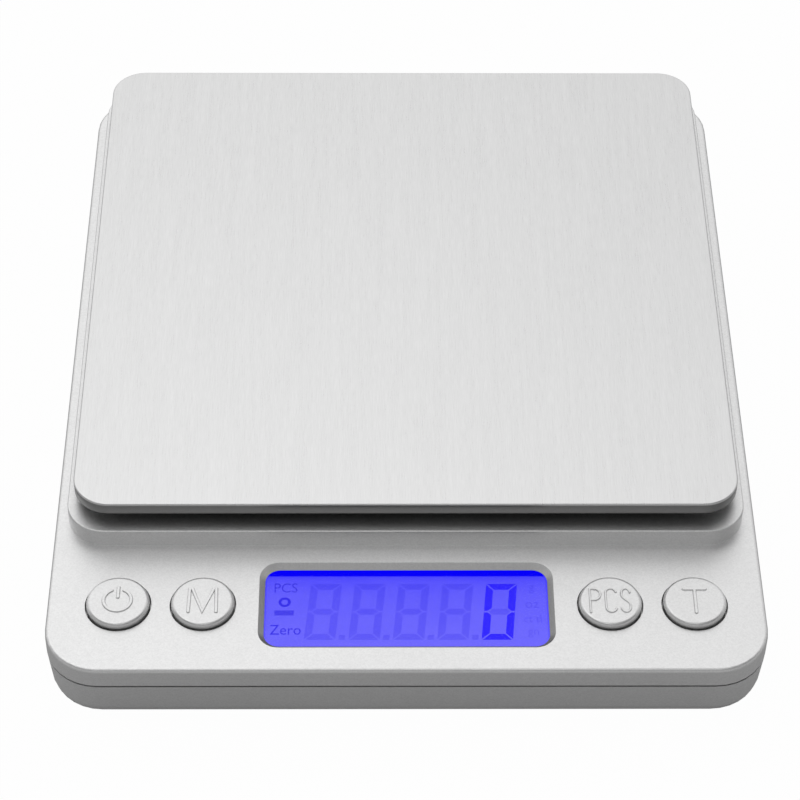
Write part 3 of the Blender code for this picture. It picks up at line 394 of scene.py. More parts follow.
def make_lead_finish(name, colour):
    """Extruded insulation: smooth, with faint drag lines."""
    return make_moulded(name, colour, roughness=0.35, grain=1.5, depth=0.05)


FINISH.update({
    "black_plastic": make_moulded("black plastic", (0.03, 0.03, 0.032), 0.45),
    "white_plastic": make_moulded("white plastic", (0.80, 0.80, 0.77), 0.5, spread=0.05),
    "black_rubber": make_moulded("black rubber", (0.022, 0.022, 0.022), 0.8, grain=3.0, depth=0.4),
    "foam_tape": make_moulded("foam tape", (0.78, 0.76, 0.70), 0.9, grain=2.5, depth=0.8, spread=0.06),
    "zinc_plate": make_moulded("zinc plate", (0.72, 0.72, 0.75), 0.28, metallic=1.0, spread=0.06),
    "nickel_strip": make_moulded("nickel plate", (0.74, 0.71, 0.66), 0.22, grain=2.0, metallic=1.0),
    "silicone": make_moulded("white silicone", (0.88, 0.88, 0.85), 0.55, grain=1.0, depth=0.5, spread=0.04),
    "light_guide": make_moulded("milky light guide", (0.85, 0.87, 0.95), 0.25, spread=0.03),
    "blue_sleeve": make_moulded("blue sleeve", (0.05, 0.07, 0.28), 0.35, grain=1.0, depth=0.05),
    "lcd_glass": make_moulded("display glass", (0.05, 0.05, 0.12), 0.2, grain=1.0, depth=0.03),
    "red_wire": make_lead_finish("red insulation", (0.55, 0.03, 0.03)),
    "black_wire": make_lead_finish("black insulation", (0.02, 0.02, 0.02)),
    "grey_cable": make_lead_finish("grey sheath", (0.36, 0.36, 0.37)),
})
print("finishes so far:", len(FINISH))


# %% [markdown]
# ## The circuit board and the cells
#
# A board's green mask lies over copper tracks, which show as slightly raised, lighter lines; the mortar
# of a brick texture draws such a maze. A cell's sleeve is dark, with a copper band at its plus end. The
# two cells lie head to tail, so the band's side follows from where a point lies: left of the middle on
# one cell, right of it on the other.

# %% Board and battery finishes
def make_board_finish():
    """Solder mask over copper tracks: a slightly raised, lighter green along a maze of lines."""
    material, tree, shader = principled("green solder mask", Roughness=0.35)
    tracks = tree.add("ShaderNodeTexBrick", Vector=tree.places((0.22, 0.55, 1.0)), Scale=1.0,
                      Color1=grey(0.0), Color2=grey(0.25), Mortar=grey(1.0))
    tree.feed(tracks, "Mortar Size", 0.06)
    tree.feed(tracks, "Brick Width", 0.9)
    tree.feed(shader, "Base Color", tree.blend(tracks, (0.012, 0.10, 0.035, 1), (0.03, 0.22, 0.09, 1)))
    bump = tree.add("ShaderNodeBump", Strength=0.3, Distance=0.00004, Height=tracks)
    tree.feed(shader, "Normal", bump)
    return material


def make_battery_finish():
    """Printed sleeves on two cells: a copper band and a bare metal cap at each plus end."""
    material, tree, shader = principled("battery sleeve", Metallic=0.5)
    source = tree.add("ShaderNodeTexCoord")
    place = tree.add("ShaderNodeSeparateXYZ", i0=source.outputs["Object"])
    front = tree.maths("SUBTRACT", place.outputs["Y"], CELLS_MIDDLE)
    plus_side = tree.maths("LESS_THAN", tree.maths("MULTIPLY", front, place.outputs["X"]), 0.0)
    reach = tree.maths("ABSOLUTE", place.outputs["X"])
    band = tree.maths("MULTIPLY", tree.maths("GREATER_THAN", reach, BAND_FROM), plus_side)
    metal = tree.maths("GREATER_THAN", reach, METAL_FROM)
    worn = tree.add("ShaderNodeTexNoise", Vector=tree.places((0.5, 3.0, 3.0)), Scale=1.0, Detail=3.0)
    sleeve = tree.blend(worn, (0.012, 0.014, 0.018, 1), (0.03, 0.034, 0.04, 1))
    copper = tree.blend(worn, (0.52, 0.22, 0.10, 1), (0.62, 0.30, 0.15, 1))
    printed = tree.blend(band, sleeve, copper)
    tree.feed(shader, "Base Color", tree.blend(metal, printed, (0.7, 0.68, 0.64, 1)))
    tree.feed(shader, "Roughness", tree.between(worn, 0.22, 0.36))
    return material


CELLS_MIDDLE = (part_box("battery_front")[0][1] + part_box("battery_rear")[1][1]) / 2
BAND_FROM, METAL_FROM = 12.5 * MM, 21.3 * MM
FINISH["board_green"] = make_board_finish()
FINISH["battery_wrap"] = make_battery_finish()
print("finishes:", len(FINISH))


# %% [markdown]
# ## From CAD node to finished surface
#
# The frame's nodes are loose triangles, exact but hard-edged. A copy with its points merged and its flat
# triangles joined into whole faces can be shaded smooth where the real piece is round, and can take a
# fine bevel where a moulded edge would catch the light. The node itself is left as it is: the finished
# copy only stands for it.

# %% Finish a copy of a node
def settle(piece, body, slot, *nodes, finish=None):
    """Give a piece its finish, or else its slot's, put it on its body and hide the nodes it stands for."""
    piece.data.materials.clear()
    piece.data.materials.append(FINISH[finish or slot])
    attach(piece, body)
    if nodes:
        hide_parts(*nodes)
    return piece


def new_piece(name, mesh):
    """An object at the origin, linked to the scene."""
    piece = bpy.data.objects.new(name, mesh)
    bpy.context.scene.collection.objects.link(piece)
    return piece


def mesh_of(name, shape):
    """A bmesh's mesh, shaded smooth up to a corner of 35 degrees."""
    mesh = bpy.data.meshes.new(name)
    shape.to_mesh(mesh)
    shape.free()
    mesh.shade_smooth()
    mesh.set_sharp_from_angle(angle=math.radians(35))
    return mesh


def baked(piece):
    """Turn a piece's modifiers into its mesh, and remove them."""
    bpy.context.view_layer.update()
    seen = piece.evaluated_get(bpy.context.evaluated_depsgraph_get())
    mesh = bpy.data.meshes.new_from_object(seen)
    mesh.name = piece.name
    piece.modifiers.clear()
    piece.data = mesh
    return piece


def bevelled(piece, width, segments=2, angle=40):
    """Round every edge sharper than the angle, then keep the flat faces flat."""
    bevel = piece.modifiers.new("edge", "BEVEL")
    bevel.width = width
    bevel.segments = segments
    bevel.limit_method = "ANGLE"
    bevel.angle_limit = math.radians(angle)
    bevel.use_clamp_overlap = True
    weighted = piece.modifiers.new("flat faces", "WEIGHTED_NORMAL")
    weighted.keep_sharp = True
    return baked(piece)


def finished_copy(node, edge=0.0, angle=40):
    """A merged, smooth copy of a node, with its edges rounded by the given width."""
    shape = bmesh.new()
    shape.from_mesh(frame["nodes"][node].data)
    bmesh.ops.remove_doubles(shape, verts=shape.verts, dist=0.000002)
    bmesh.ops.dissolve_limit(shape, angle_limit=math.radians(0.4), verts=shape.verts, edges=shape.edges)
    piece = new_piece(node + "_finished", mesh_of(node, shape))
    if edge:
        bevelled(piece, edge, angle=angle)
    return piece


BODY_OF = {node: body for body, nodes in frame["record"]["behaviour"]["bodies"].items() for node in nodes}
SLOT_OF = {part["node"]: part["material_slot"] for part in frame["record"]["subparts"]}
print("merged copies take their body and slot from the record")


# %% [markdown]
# ## The housing
#
# Both halves are injection moulded and then sprayed silver. The upper shell carries the face, the plinth
# and the window's opening; the tray below has a coarser, slightly darker coat. A moulder leaves a radius
# of about a fifth of a millimetre on every outer edge, and that thin bright line is what makes the edges
# read. A bevel modifier adds it to a copy of each shell, because the working model is sharp there.

# %% Upper shell, tray and battery door
SHELL_EDGE = 0.22 * MM
for node, finish in (("upper_housing", "silver_paint"), ("lower_housing", "lower_paint"),
                     ("battery_door", "lower_paint")):
    shell = finished_copy(node, edge=SHELL_EDGE)
    settle(shell, BODY_OF[node], SLOT_OF[node], node, finish=finish)
    print(shell.name, len(shell.data.polygons), "faces")


# %% [markdown]
# ## The platform
#
# A square of stainless sheet with its rim folded down. It is drawn here again with a finer fold than the
# solid model has: rounded rectangles are stacked from the rim's lower edge round the fold to the top, and
# Solidify gives the sheet its half millimetre.

# %% Folded steel platform
PLATFORM_LOW, PLATFORM_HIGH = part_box("weighing_platform")
SHEET = 0.5 * MM
FOLD = 0.25 * MM
PLATFORM_CORNER = 5.5 * MM
CORNER_STEPS = 16
FOLD_STEPS = 8


def rounded_ring(low, high, corner, inset, steps=CORNER_STEPS):
    """Points of a rounded rectangle between two corners, drawn in by inset, anticlockwise from above."""
    points = []
    radius = corner - inset
    for quarter, (right, back) in enumerate(((1, 1), (0, 1), (0, 0), (1, 0))):
        x = (high[0] - corner) if right else (low[0] + corner)
        y = (high[1] - corner) if back else (low[1] + corner)
        for step in range(steps + 1):
            angle = math.pi / 2 * (quarter + step / steps)
            points.append((x + radius * math.cos(angle), y + radius * math.sin(angle)))
    return points


def skin(shape, rings):
    """Faces between rings of equal length, from the lowest to the highest, with a face on the last."""
    for low, high in zip(rings, rings[1:]):
        for first in range(len(low)):
            second = (first + 1) % len(low)
            shape.faces.new((low[first], low[second], high[second], high[first]))
    shape.faces.new(rings[-1])


def make_platform():
    shape = bmesh.new()
    levels = [(PLATFORM_LOW[2], 0.0)]
    for step in range(FOLD_STEPS + 1):
        angle = math.pi / 2 * step / FOLD_STEPS
        levels.append((PLATFORM_HIGH[2] - FOLD * (1 - math.sin(angle)), FOLD * (1 - math.cos(angle))))
    rings = []
    for height, inset in levels:
        points = rounded_ring(PLATFORM_LOW, PLATFORM_HIGH, PLATFORM_CORNER, inset)
        rings.append([shape.verts.new((x, y, height)) for x, y in points])
    skin(shape, rings)
    piece = new_piece("platform_pan", mesh_of("platform_pan", shape))
    sheet = piece.modifiers.new("sheet", "SOLIDIFY")
    sheet.thickness = SHEET
    sheet.offset = -1
    sheet.use_even_offset = True
    weighted = piece.modifiers.new("flat faces", "WEIGHTED_NORMAL")
    weighted.keep_sharp = True
    return baked(piece)


settle(make_platform(), "platform", "brushed_steel", "weighing_platform")
print("platform", [round((b - a) * 1000, 1) for a, b in zip(PLATFORM_LOW, PLATFORM_HIGH)], "mm")


# %% [markdown]
# ## The keys
#
# Each key is a turned disc with a rounded shoulder, and its symbol is moulded on top as a low ridge about
# half a millimetre wide. A ring of points for each level of the profile, joined by faces, gives the disc
# without a modifier. `ridge` takes a stroke, which is a line of points along the middle of the ridge,
# gives it its width and its round ends, and raises it with sloping sides.

# %% Key bodies and ridges
KEY_SHOULDER = 0.55 * MM
SHOULDER_STEPS = 8
KEY_SIDES = 96
RIDGE_WIDTH = 0.58 * MM
RIDGE_HEIGHT = 0.18 * MM
RIDGE_SLOPE = 0.12 * MM
RIDGE_ROOT = 0.1 * MM
END_STEPS = 6
FLANGE_REACH = 0.62 * MM
FLANGE_LIFT = 0.2 * MM
FLANGE_THICKNESS = 1.0 * MM


def key_disc(shape, low, high):
    """Turn the key's profile: a flat top, a rounded shoulder, a straight side and the flange."""
    middle = Vector(((low[0] + high[0]) / 2, (low[1] + high[1]) / 2, 0))
    flange = (high[0] - low[0]) / 2
    radius = flange - FLANGE_REACH
    profile = []
    for step in range(SHOULDER_STEPS + 1):
        angle = math.pi / 2 * (1 - step / SHOULDER_STEPS)
        profile.append((radius - KEY_SHOULDER * (1 - math.cos(angle)),
                        high[2] - KEY_SHOULDER * (1 - math.sin(angle))))
    flange_low = low[2] + FLANGE_LIFT
    flange_high = flange_low + FLANGE_THICKNESS
    profile += [(radius, flange_high), (flange, flange_high), (flange, flange_low)]
    rings = []
    for distance, height in profile:
        rings.append([shape.verts.new(middle + Vector((distance * math.cos(2 * math.pi * n / KEY_SIDES),
                                                       distance * math.sin(2 * math.pi * n / KEY_SIDES),
                                                       height))) for n in range(KEY_SIDES)])
    skin(shape, rings[::-1])
    shape.faces.new(reversed(rings[-1]))
    return middle, high[2]


def stroke_outline(points, width):
    """The outline of a stroke with round ends, anticlockwise."""
    points = [Vector(point) for point in points]
    ways = [(b - a).normalized() for a, b in zip(points, points[1:])]
    sides = []
    for number, point in enumerate(points):
        before, after = ways[max(number - 1, 0)], ways[min(number, len(ways) - 1)]
        across = Vector((before.y + after.y, -before.x - after.x)).normalized()
        reach = width / 2 / max(0.5, across.dot(Vector((before.y, -before.x))))
        sides.append(across * reach)
    right = [point + side for point, side in zip(points, sides)]
    left = [point - side for point, side in zip(points, sides)]
    outline = list(right)
    for end, way in ((points[-1], ways[-1]), (points[0], -ways[0])):
        side = Vector((way.y, -way.x)) * width / 2
        for step in range(1, END_STEPS):
            angle = math.pi * step / END_STEPS
            outline.append(end + side * math.cos(angle) + way * (width / 2) * math.sin(angle))
        if end is points[-1]:
            outline += left[::-1]
    return outline


def ridge(shape, points, middle, height, width=RIDGE_WIDTH, rise=RIDGE_HEIGHT):
    """A raised stroke on a flat face: sloping sides and a flat top."""
    rings = []
    for level, narrower in ((-RIDGE_ROOT, 0.0), (0.0, 0.0), (rise, RIDGE_SLOPE)):
        outline = stroke_outline(points, width - 2 * narrower)
        rings.append([shape.verts.new((middle.x + p.x, middle.y + p.y, height + level)) for p in outline])
    skin(shape, rings)
    shape.faces.new(reversed(rings[0]))


print("a key has", KEY_SIDES, "sides and a shoulder of", round(KEY_SHOULDER / MM, 2), "mm")


# %% [markdown]
# ## The symbols on the keys
#
# The marks are the common ones for power, mode, piece counting and tare. Letters from a font would be
# too thick and have no round ends, so each mark is written down as a few strokes in millimetres: arcs
# where it is round, and end points where it is straight. Each stroke of a mark is four thousandths of a
# millimetre lower than the one before it, so that no two of their tops share a place.

# %% Key symbols
STROKE_STEP = 0.004 * MM


def arc(centre, radius, start, end, steps=18):
    """Points along an arc, angles in degrees, radius a number or a pair."""
    wide, tall = radius if isinstance(radius, tuple) else (radius, radius)
    return [(centre[0] + wide * math.cos(math.radians(start + (end - start) * n / steps)),
             centre[1] + tall * math.sin(math.radians(start + (end - start) * n / steps)))
            for n in range(steps + 1)]


def letter_p(x):
    """A narrow P whose stem stands at x."""
    bowl = [(x, 2.15), (x + 0.65, 2.15)] + arc((x + 0.65, 1.1), (0.88, 1.05), 90, -90, 12) + [(x, 0.05)]
    return [[(x, -2.25), (x, 2.1)], bowl]


def letter_c(x):
    """A narrow C around x, with straight sides."""
    return [arc((x, 1.35), (0.77, 0.85), 15, 180, 10) + arc((x, -1.35), (0.77, 0.85), 180, 345, 10)]


def letter_s(x):
    """A narrow S around x: an upper bow and a lower one that meet in the middle."""
    return [arc((x, 1.2), (0.64, 1.0), 15, 240, 14) + arc((x - 0.05, -1.15), (0.70, 1.05), 68, -165, 14)]


SYMBOLS = {
    "power": [arc((-0.05, 0.08), 2.04, 116, 424, 36), [(0.0, 0.62), (0.0, 2.5)]],
    "mode": [[(-2.05, -2.1), (-1.95, 2.25)], [(-1.6, 2.25), (0.0, -2.05), (1.6, 2.25)],
             [(1.95, 2.25), (2.05, -2.1)]],
    "count": letter_p(-3.0) + letter_c(0.08) + letter_s(2.28),
    "tare": [[(-1.6, 2.1), (1.6, 2.1)], [(0.0, 2.1), (0.0, -2.3)]],
}
SYMBOL_WIDTH = {"count": 0.40 * MM}

for key, strokes in SYMBOLS.items():
    node = "button_" + key
    shape = bmesh.new()
    middle, top = key_disc(shape, *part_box(node))
    width = SYMBOL_WIDTH.get(key, RIDGE_WIDTH)
    for number, stroke in enumerate(strokes):
        points = [(x * MM, y * MM) for x, y in stroke]
        ridge(shape, points, middle, top, width, RIDGE_HEIGHT - number * STROKE_STEP)
    piece = new_piece("key_" + key, mesh_of("key_" + key, shape))
    weighted = piece.modifiers.new("flat faces", "WEIGHTED_NORMAL")
    weighted.keep_sharp = True
    settle(baked(piece), "key_" + key, "key_paint", node)
    print(piece.name, len(strokes), "strokes")


# %% [markdown]
# ## The display's light
#
# The display is a blue panel lit from behind: every segment can be seen faintly, and the lit figure is
# the one that stands out. A picture on the panel would go soft from close by, so each tone is a glowing
# finish of its own, and the figures are faces. Each tone runs along a bowed curve from a deeper blue at
# the back edge to a paler one at the front. The blue is the backlight's own; the paler part is partly a
# painted reflection of the bright room, and the deeper blue kept at the sides is painted shade. The pane
# over it is nearly clear.

# %% Display finishes
PANEL_LOW, PANEL_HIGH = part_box("lcd_panel")
# painted shade: towards each side the paler colour fades out, leaving the deeper blue
GLOW_SIDE = 21.5 * MM
GLOW_FADE = 0.9 * MM
GLOW_BACK, GLOW_FRONT = PANEL_HIGH[1] - 1.45 * MM, PANEL_LOW[1] + 1.3 * MM
GLOW_BOW = 0.27
GLOW_CLOUD = 0.16


def linear(red, green, blue):
    """A screen colour of 0 to 255 as a linear colour, which is what a shader takes."""
    values = [value / 255 for value in (red, green, blue)]
    return tuple(v / 12.92 if v <= 0.04045 else ((v + 0.055) / 1.055) ** 2.4 for v in values) + (1.0,)


def glow_material(name, back, front, strength=1.05):
    """Light from a sheet, running from one colour at its back edge to another at its front.

    Its paler front colour is partly painted reflection, and the deeper blue at the sides painted shade.
    The lamps of such a panel are weak, so what stands beside it is left to see a dark sheet."""
    material, tree, shader = principled(name, Roughness=0.4, Base_Color=(0.0, 0.0, 0.02, 1.0),
                                        Specular_IOR_Level=0.0)
    source = tree.add("ShaderNodeTexCoord")
    place = tree.add("ShaderNodeSeparateXYZ", i0=source.outputs["Object"])
    along = tree.add("ShaderNodeMapRange", i0=place.outputs["Y"], i1=GLOW_BACK, i2=GLOW_FRONT)
    bow = tree.maths("POWER", along, GLOW_BOW)
    cloud = tree.add("ShaderNodeTexNoise", Vector=tree.places((0.15, 0.3, 0.3)), Scale=1.0, Detail=1.0)
    drift = tree.maths("MULTIPLY", tree.maths("SUBTRACT", cloud, 0.5), GLOW_CLOUD)
    clouded = tree.maths("ADD", bow, drift)
    # painted shade at the sides: the paler colour fades out to the back colour
    side = tree.maths("ABSOLUTE", place.outputs["X"])
    dim = tree.add("ShaderNodeMapRange", {"interpolation_type": "SMOOTHSTEP"},
                   i0=side, i1=GLOW_SIDE - GLOW_FADE, i2=GLOW_SIDE, i3=1.0, i4=0.0)
    amount = tree.maths("MULTIPLY", clouded, dim, clamp=True)
    # deeper blue at the back, paler at the front: the paler part is partly painted reflection
    tree.feed(shader, "Emission Color", tree.blend(amount, back, front))
    tree.feed(shader, "Emission Strength", strength)
    path = tree.add("ShaderNodeLightPath")
    dark = tree.add("ShaderNodeBsdfDiffuse", Color=(0.01, 0.01, 0.03, 1.0))
    seen = tree.add("ShaderNodeMixShader", i0=path.outputs["Is Camera Ray"], i1=dark, i2=shader)
    output = next(node for node in tree.tree.nodes if node.type == "OUTPUT_MATERIAL")
    tree.tree.links.new(seen.outputs[0], output.inputs["Surface"])
    return material


def make_clear_pane():
    """Clear acrylic that is nearly all see-through, with a dust of finer and coarser spots on it."""
    material, tree, shader = principled("clear pane", Base_Color=(0.02, 0.02, 0.03, 1.0), IOR=1.49)
    dust = tree.add("ShaderNodeTexNoise", Vector=tree.places((1.5, 1.5, 1.5)), Scale=1.0, Detail=4.0)
    tree.feed(shader, "Alpha", tree.between(dust, 0.015, 0.06))
    tree.feed(shader, "Roughness", tree.between(dust, 0.03, 0.12))
    return material


FINISH["clear_pane"] = make_clear_pane()
GLOWS = {
    "lcd_glow": ("backlit panel", (46, 41, 252), (113, 108, 255)),
    # painted shade: a deeper blue band along the panel's back edge
    "lcd_band": ("panel edge", (4, 0, 252), (0, 0, 255)),
    "lcd_ghost": ("resting figures", (42, 36, 242), (98, 93, 250)),
    "lcd_shade": ("shaded signs", (26, 20, 224), (78, 72, 240)),
    "lcd_dark": ("lit figures", (44, 34, 252), (52, 42, 255)),
    "lcd_mark": ("lit signs", (46, 40, 235), (60, 54, 238)),
}
for key, (label, back, front) in GLOWS.items():
    FINISH[key] = glow_material(label, linear(*back), linear(*front))
print("display finishes:", ", ".join(GLOWS))


# %% [markdown]
# ## The display's panel
#
# The lit picture is a thin sheet on top of the panel, and its figures lie a hair above it, so that no
# two faces share a place. Along the back edge runs a band of deeper blue, painted shade under the
# window's back edge.

# %% The glowing panel
PICTURE_Z = PANEL_HIGH[2] + 0.03 * MM
LAYER = 0.02 * MM
FIGURE_Z = PICTURE_Z + LAYER


def flat_face(shape, points, height):
    """One flat face that looks up; its points go round anticlockwise."""
    shape.faces.new([shape.verts.new((x, y, height)) for x, y in points])


def rectangle(shape, low, high, height):
    """A flat rectangle between two corners."""
    flat_face(shape, ((low[0], low[1]), (high[0], low[1]), (high[0], high[1]), (low[0], high[1])), height)


def display_piece(name, shape, finish):
    """A piece of the lit picture, with its finish."""
    piece = new_piece(name, mesh_of(name, shape))
    return settle(piece, "root", "lcd_glass", finish=finish)


panel = bmesh.new()
rectangle(panel, (PANEL_LOW[0], PANEL_LOW[1]), (PANEL_HIGH[0], GLOW_BACK), PICTURE_Z)
display_piece("display_glow", panel, "lcd_glow")
# painted shade: the deeper blue band along the panel's back edge
band = bmesh.new()
rectangle(band, (PANEL_LOW[0], GLOW_BACK), (PANEL_HIGH[0], PANEL_HIGH[1]), PICTURE_Z)
display_piece("display_band", band, "lcd_band")
print("display picture at", round(PICTURE_Z * 1000, 2), "mm")


# %% [markdown]
# ## Repeating things with Geometry Nodes
#
# Figures, screws, ribs and legs come in sets. A Geometry Nodes tree takes the shape of one and makes
# the set, with its count and step as named inputs, so a set is changed by a number and not by new
# faces. `ShapeTree` writes such a tree in a few lines, and closes it with Realize Instances and Set
# Material. `grown` runs it on a starting mesh and keeps the plain mesh that comes out.

# %% Geometry Nodes trees
SOCKET_KIND = {int: "NodeSocketInt", float: "NodeSocketFloat", tuple: "NodeSocketVector",
               type(None): "NodeSocketObject"}


class ShapeTree(Tree):
    """A Geometry Nodes tree: a shape and named sizes go in, one painted shape comes out."""

    def __init__(self, name, **sizes):
        self.tree = bpy.data.node_groups.new(name, "GeometryNodeTree")
        face = self.tree.interface
        face.new_socket("Shape", in_out="INPUT", socket_type="NodeSocketGeometry")
        for label, value in sizes.items():
            socket = face.new_socket(label.replace("_", " "), in_out="INPUT",
                                     socket_type=SOCKET_KIND[type(value)])
            if value is not None:
                socket.default_value = value
        face.new_socket("Finish", in_out="INPUT", socket_type="NodeSocketMaterial")
        face.new_socket("Shape", in_out="OUTPUT", socket_type="NodeSocketGeometry")
        self.given = self.add("NodeGroupInput").outputs

    def end(self, geometry):
        """Make the copies real, paint them and hand them out."""
        whole = self.add("GeometryNodeRealizeInstances", Geometry=geometry)
        painted = self.add("GeometryNodeSetMaterial", Geometry=whole, Material=self.given["Finish"])
        output = self.add("NodeGroupOutput")
        self.tree.links.new(painted.outputs[0], output.inputs[0])
        return self.tree


def row_tree():
    """Copies of the shape in a straight row."""
    tree = ShapeTree("row of copies", Count=2, Step=(0.001, 0.0, 0.0))
    line = tree.add("GeometryNodeMeshLine", Count=tree.given["Count"], Offset=tree.given["Step"])
    return tree.end(tree.add("GeometryNodeInstanceOnPoints", Points=line, Instance=tree.given["Shape"]))


def places_tree():
    """A copy of the shape at every point of another object."""
    tree = ShapeTree("copies at places", Places=None)
    points = tree.add("GeometryNodeObjectInfo", Object=tree.given["Places"])
    return tree.end(tree.add("GeometryNodeInstanceOnPoints", Points=points.outputs["Geometry"],
                             Instance=tree.given["Shape"]))


ROW, PLACES = row_tree(), places_tree()


def grown(name, mesh, tree, finish, **sizes):
    """Run a tree on a mesh with its named inputs set; the plain piece that it makes."""
    piece = new_piece(name, mesh)
    modifier = piece.modifiers.new(tree.name, "NODES")
    modifier.node_group = tree
    sizes["Finish"] = FINISH[finish]
    for socket in tree.interface.items_tree:
        if socket.in_out == "INPUT" and socket.name in sizes:
            modifier[socket.identifier] = sizes[socket.name]
    return baked(piece)


def grown_at(name, mesh, points, finish):
    """One copy of a mesh at each point."""
    marks = bpy.data.meshes.new("marks")
    marks.from_pydata(points, [], [])
    holder = new_piece("marks", marks)
    piece = grown(name, mesh, PLACES, finish, Places=holder)
    bpy.data.objects.remove(holder)
    return piece


print("trees:", ", ".join(tree.name for tree in (ROW, PLACES)))


# %% [markdown]
# ## The figures
#
# One figure is drawn once, as seven segments with slanted ends that lean a little to the right. Half of
# the segments follow from the others by turning them over. Geometry Nodes repeat the resting figure
# along the row; the last figure shows a lit zero, with only its middle bar resting.

# %% Seven-segment figures
DIGITS = 5
DIGIT_WIDTH = 4.62 * MM
DIGIT_HEIGHT = 10.6 * MM
DIGIT_PITCH = 6.54 * MM
DIGIT_LEAN = math.tan(math.radians(5.2))
FIRST_DIGIT = (-15.16 * MM, PANEL_LOW[1] + 3.75 * MM)
SEGMENT = 1.12 * MM
SEGMENT_GAP = 0.15 * MM
POINT_SIDE = 0.95 * MM


def segment_outlines():
    """The seven segments of an upright figure, by name, each an anticlockwise outline."""
    wide, tall, bar, gap = DIGIT_WIDTH, DIGIT_HEIGHT, SEGMENT, SEGMENT_GAP
    half, nib = tall / 2, bar / 2
    top = [(gap, tall), (bar + gap, tall - bar), (wide - bar - gap, tall - bar), (wide - gap, tall)]
    left = [(0, tall - gap), (0, half + gap), (nib, half + gap), (bar, half + nib + gap),
            (bar, tall - bar - gap)]
    middle = [(nib + gap, half), (bar + gap, half - nib), (wide - bar - gap, half - nib),
              (wide - nib - gap, half), (wide - bar - gap, half + nib), (bar + gap, half + nib)]

    def across(points):
        return [(wide - x, y) for x, y in reversed(points)]

    def under(points):
        return [(x, tall - y) for x, y in reversed(points)]

    return {"top": top, "upper left": left, "upper right": across(left), "middle": middle,
            "lower left": under(left), "lower right": across(under(left)), "bottom": under(top)}


def digit_mesh(name, segments, height, point=False):
    """A leaning figure at the first place in the row, made of the named segments."""
    shape = bmesh.new()
    outlines = [outline for label, outline in segment_outlines().items() if label in segments]
    if point:
        start = DIGIT_WIDTH + (DIGIT_PITCH - DIGIT_WIDTH - POINT_SIDE) / 2
        end = start + POINT_SIDE
        outlines.append([(start, 0), (end, 0), (end, POINT_SIDE), (start, POINT_SIDE)])
    for outline in outlines:
        leaning = [(FIRST_DIGIT[0] + x + DIGIT_LEAN * y, FIRST_DIGIT[1] + y) for x, y in outline]
        flat_face(shape, leaning, height)
    return mesh_of(name, shape)


EVERY = tuple(segment_outlines())
resting = grown("resting_figures", digit_mesh("resting figures", EVERY, FIGURE_Z, point=True), ROW,
                "lcd_ghost", Count=DIGITS - 1, Step=(DIGIT_PITCH, 0.0, 0.0))
settle(resting, "root", "lcd_glass", finish="lcd_ghost")
for name, segments, finish in (("last_figure_resting", ("middle",), "lcd_ghost"),
                               ("last_figure_lit", tuple(s for s in EVERY if s != "middle"), "lcd_dark")):
    mesh = digit_mesh(name, segments, FIGURE_Z)
    mesh.transform(Matrix.Translation(((DIGITS - 1) * DIGIT_PITCH, 0, 0)))
    settle(new_piece(name, mesh), "root", "lcd_glass", finish=finish)
print("figures:", DIGITS, "of", len(EVERY), "segments")


# %% [markdown]
# ## The signs
#
# Small words and marks stand in a column on each side of the figures, and name the unit or the state.
# They are plain letters, so a text object with Blender's own font draws them, narrowed a little and
# turned into flat faces. Two are lit, two are half lit, and the units on the right are at rest.

# %% Signs beside the figures
SIGN_NARROWING = 0.85


def add_sign(shape, words, centre, tall):
    """Flat, slightly narrowed letters of a given height, their middle at the centre."""
    curve = bpy.data.curves.new("sign", "FONT")
    curve.body = words
    curve.resolution_u = 3
    holder = new_piece("sign", curve)
    bpy.context.view_layer.update()
    mesh = bpy.data.meshes.new_from_object(holder.evaluated_get(bpy.context.evaluated_depsgraph_get()))
    xs = [vertex.co.x for vertex in mesh.vertices]
    ys = [vertex.co.y for vertex in mesh.vertices]
    size = tall / (max(ys) - min(ys))
    middle = Vector(((max(xs) + min(xs)) / 2, (max(ys) + min(ys)) / 2, 0))
    mesh.transform(Matrix.Translation((centre[0], centre[1], FIGURE_Z))
                   @ Matrix.Diagonal((size * SIGN_NARROWING, size, size, 1)) @ Matrix.Translation(-middle))
    shape.from_mesh(mesh)
    bpy.data.objects.remove(holder)


def add_ring_sign(shape, centre, radius, width, steps=36):
    """A flat ring."""
    around = [(math.cos(2 * math.pi * n / steps), math.sin(2 * math.pi * n / steps)) for n in range(steps)]
    outer, inner = ([shape.verts.new((centre[0] + r * x, centre[1] + r * y, FIGURE_Z)) for x, y in around]
                    for r in (radius, radius - width))
    for n in range(steps):
        shape.faces.new((outer[n], outer[(n + 1) % steps], inner[(n + 1) % steps], inner[n]))


def sign_place(side, down, shift=0.0):
    """A place in a column of signs, measured in millimetres from the panel's back edge."""
    return side + shift * MM, GLOW_BACK - down * MM


SIGN_LEFT, SIGN_RIGHT = -18.1 * MM, 18.7 * MM
lit = bmesh.new()
add_sign(lit, "Zero", sign_place(SIGN_LEFT, 10.21, 0.2), 1.85 * MM)
add_ring_sign(lit, sign_place(SIGN_LEFT, 4.99), 0.92 * MM, 0.44 * MM)
display_piece("signs_lit", lit, "lcd_mark")
shaded = bmesh.new()
add_sign(shaded, "PCS", sign_place(SIGN_LEFT, 2.25, 0.15), 1.8 * MM)
rectangle(shaded, sign_place(SIGN_LEFT, 7.5, -1.5), sign_place(SIGN_LEFT, 6.55, 1.4), FIGURE_Z)
display_piece("signs_shaded", shaded, "lcd_shade")
faint = bmesh.new()
for words, down, tall in (("g", 2.55, 1.5), ("oz", 5.55, 1.2), ("ct tl", 8.15, 1.4), ("gn", 10.95, 1.5)):
    add_sign(faint, words, sign_place(SIGN_RIGHT, down), tall * MM)
display_piece("signs_resting", faint, "lcd_ghost")
print("signs: 2 lit, 2 half lit, 4 resting")


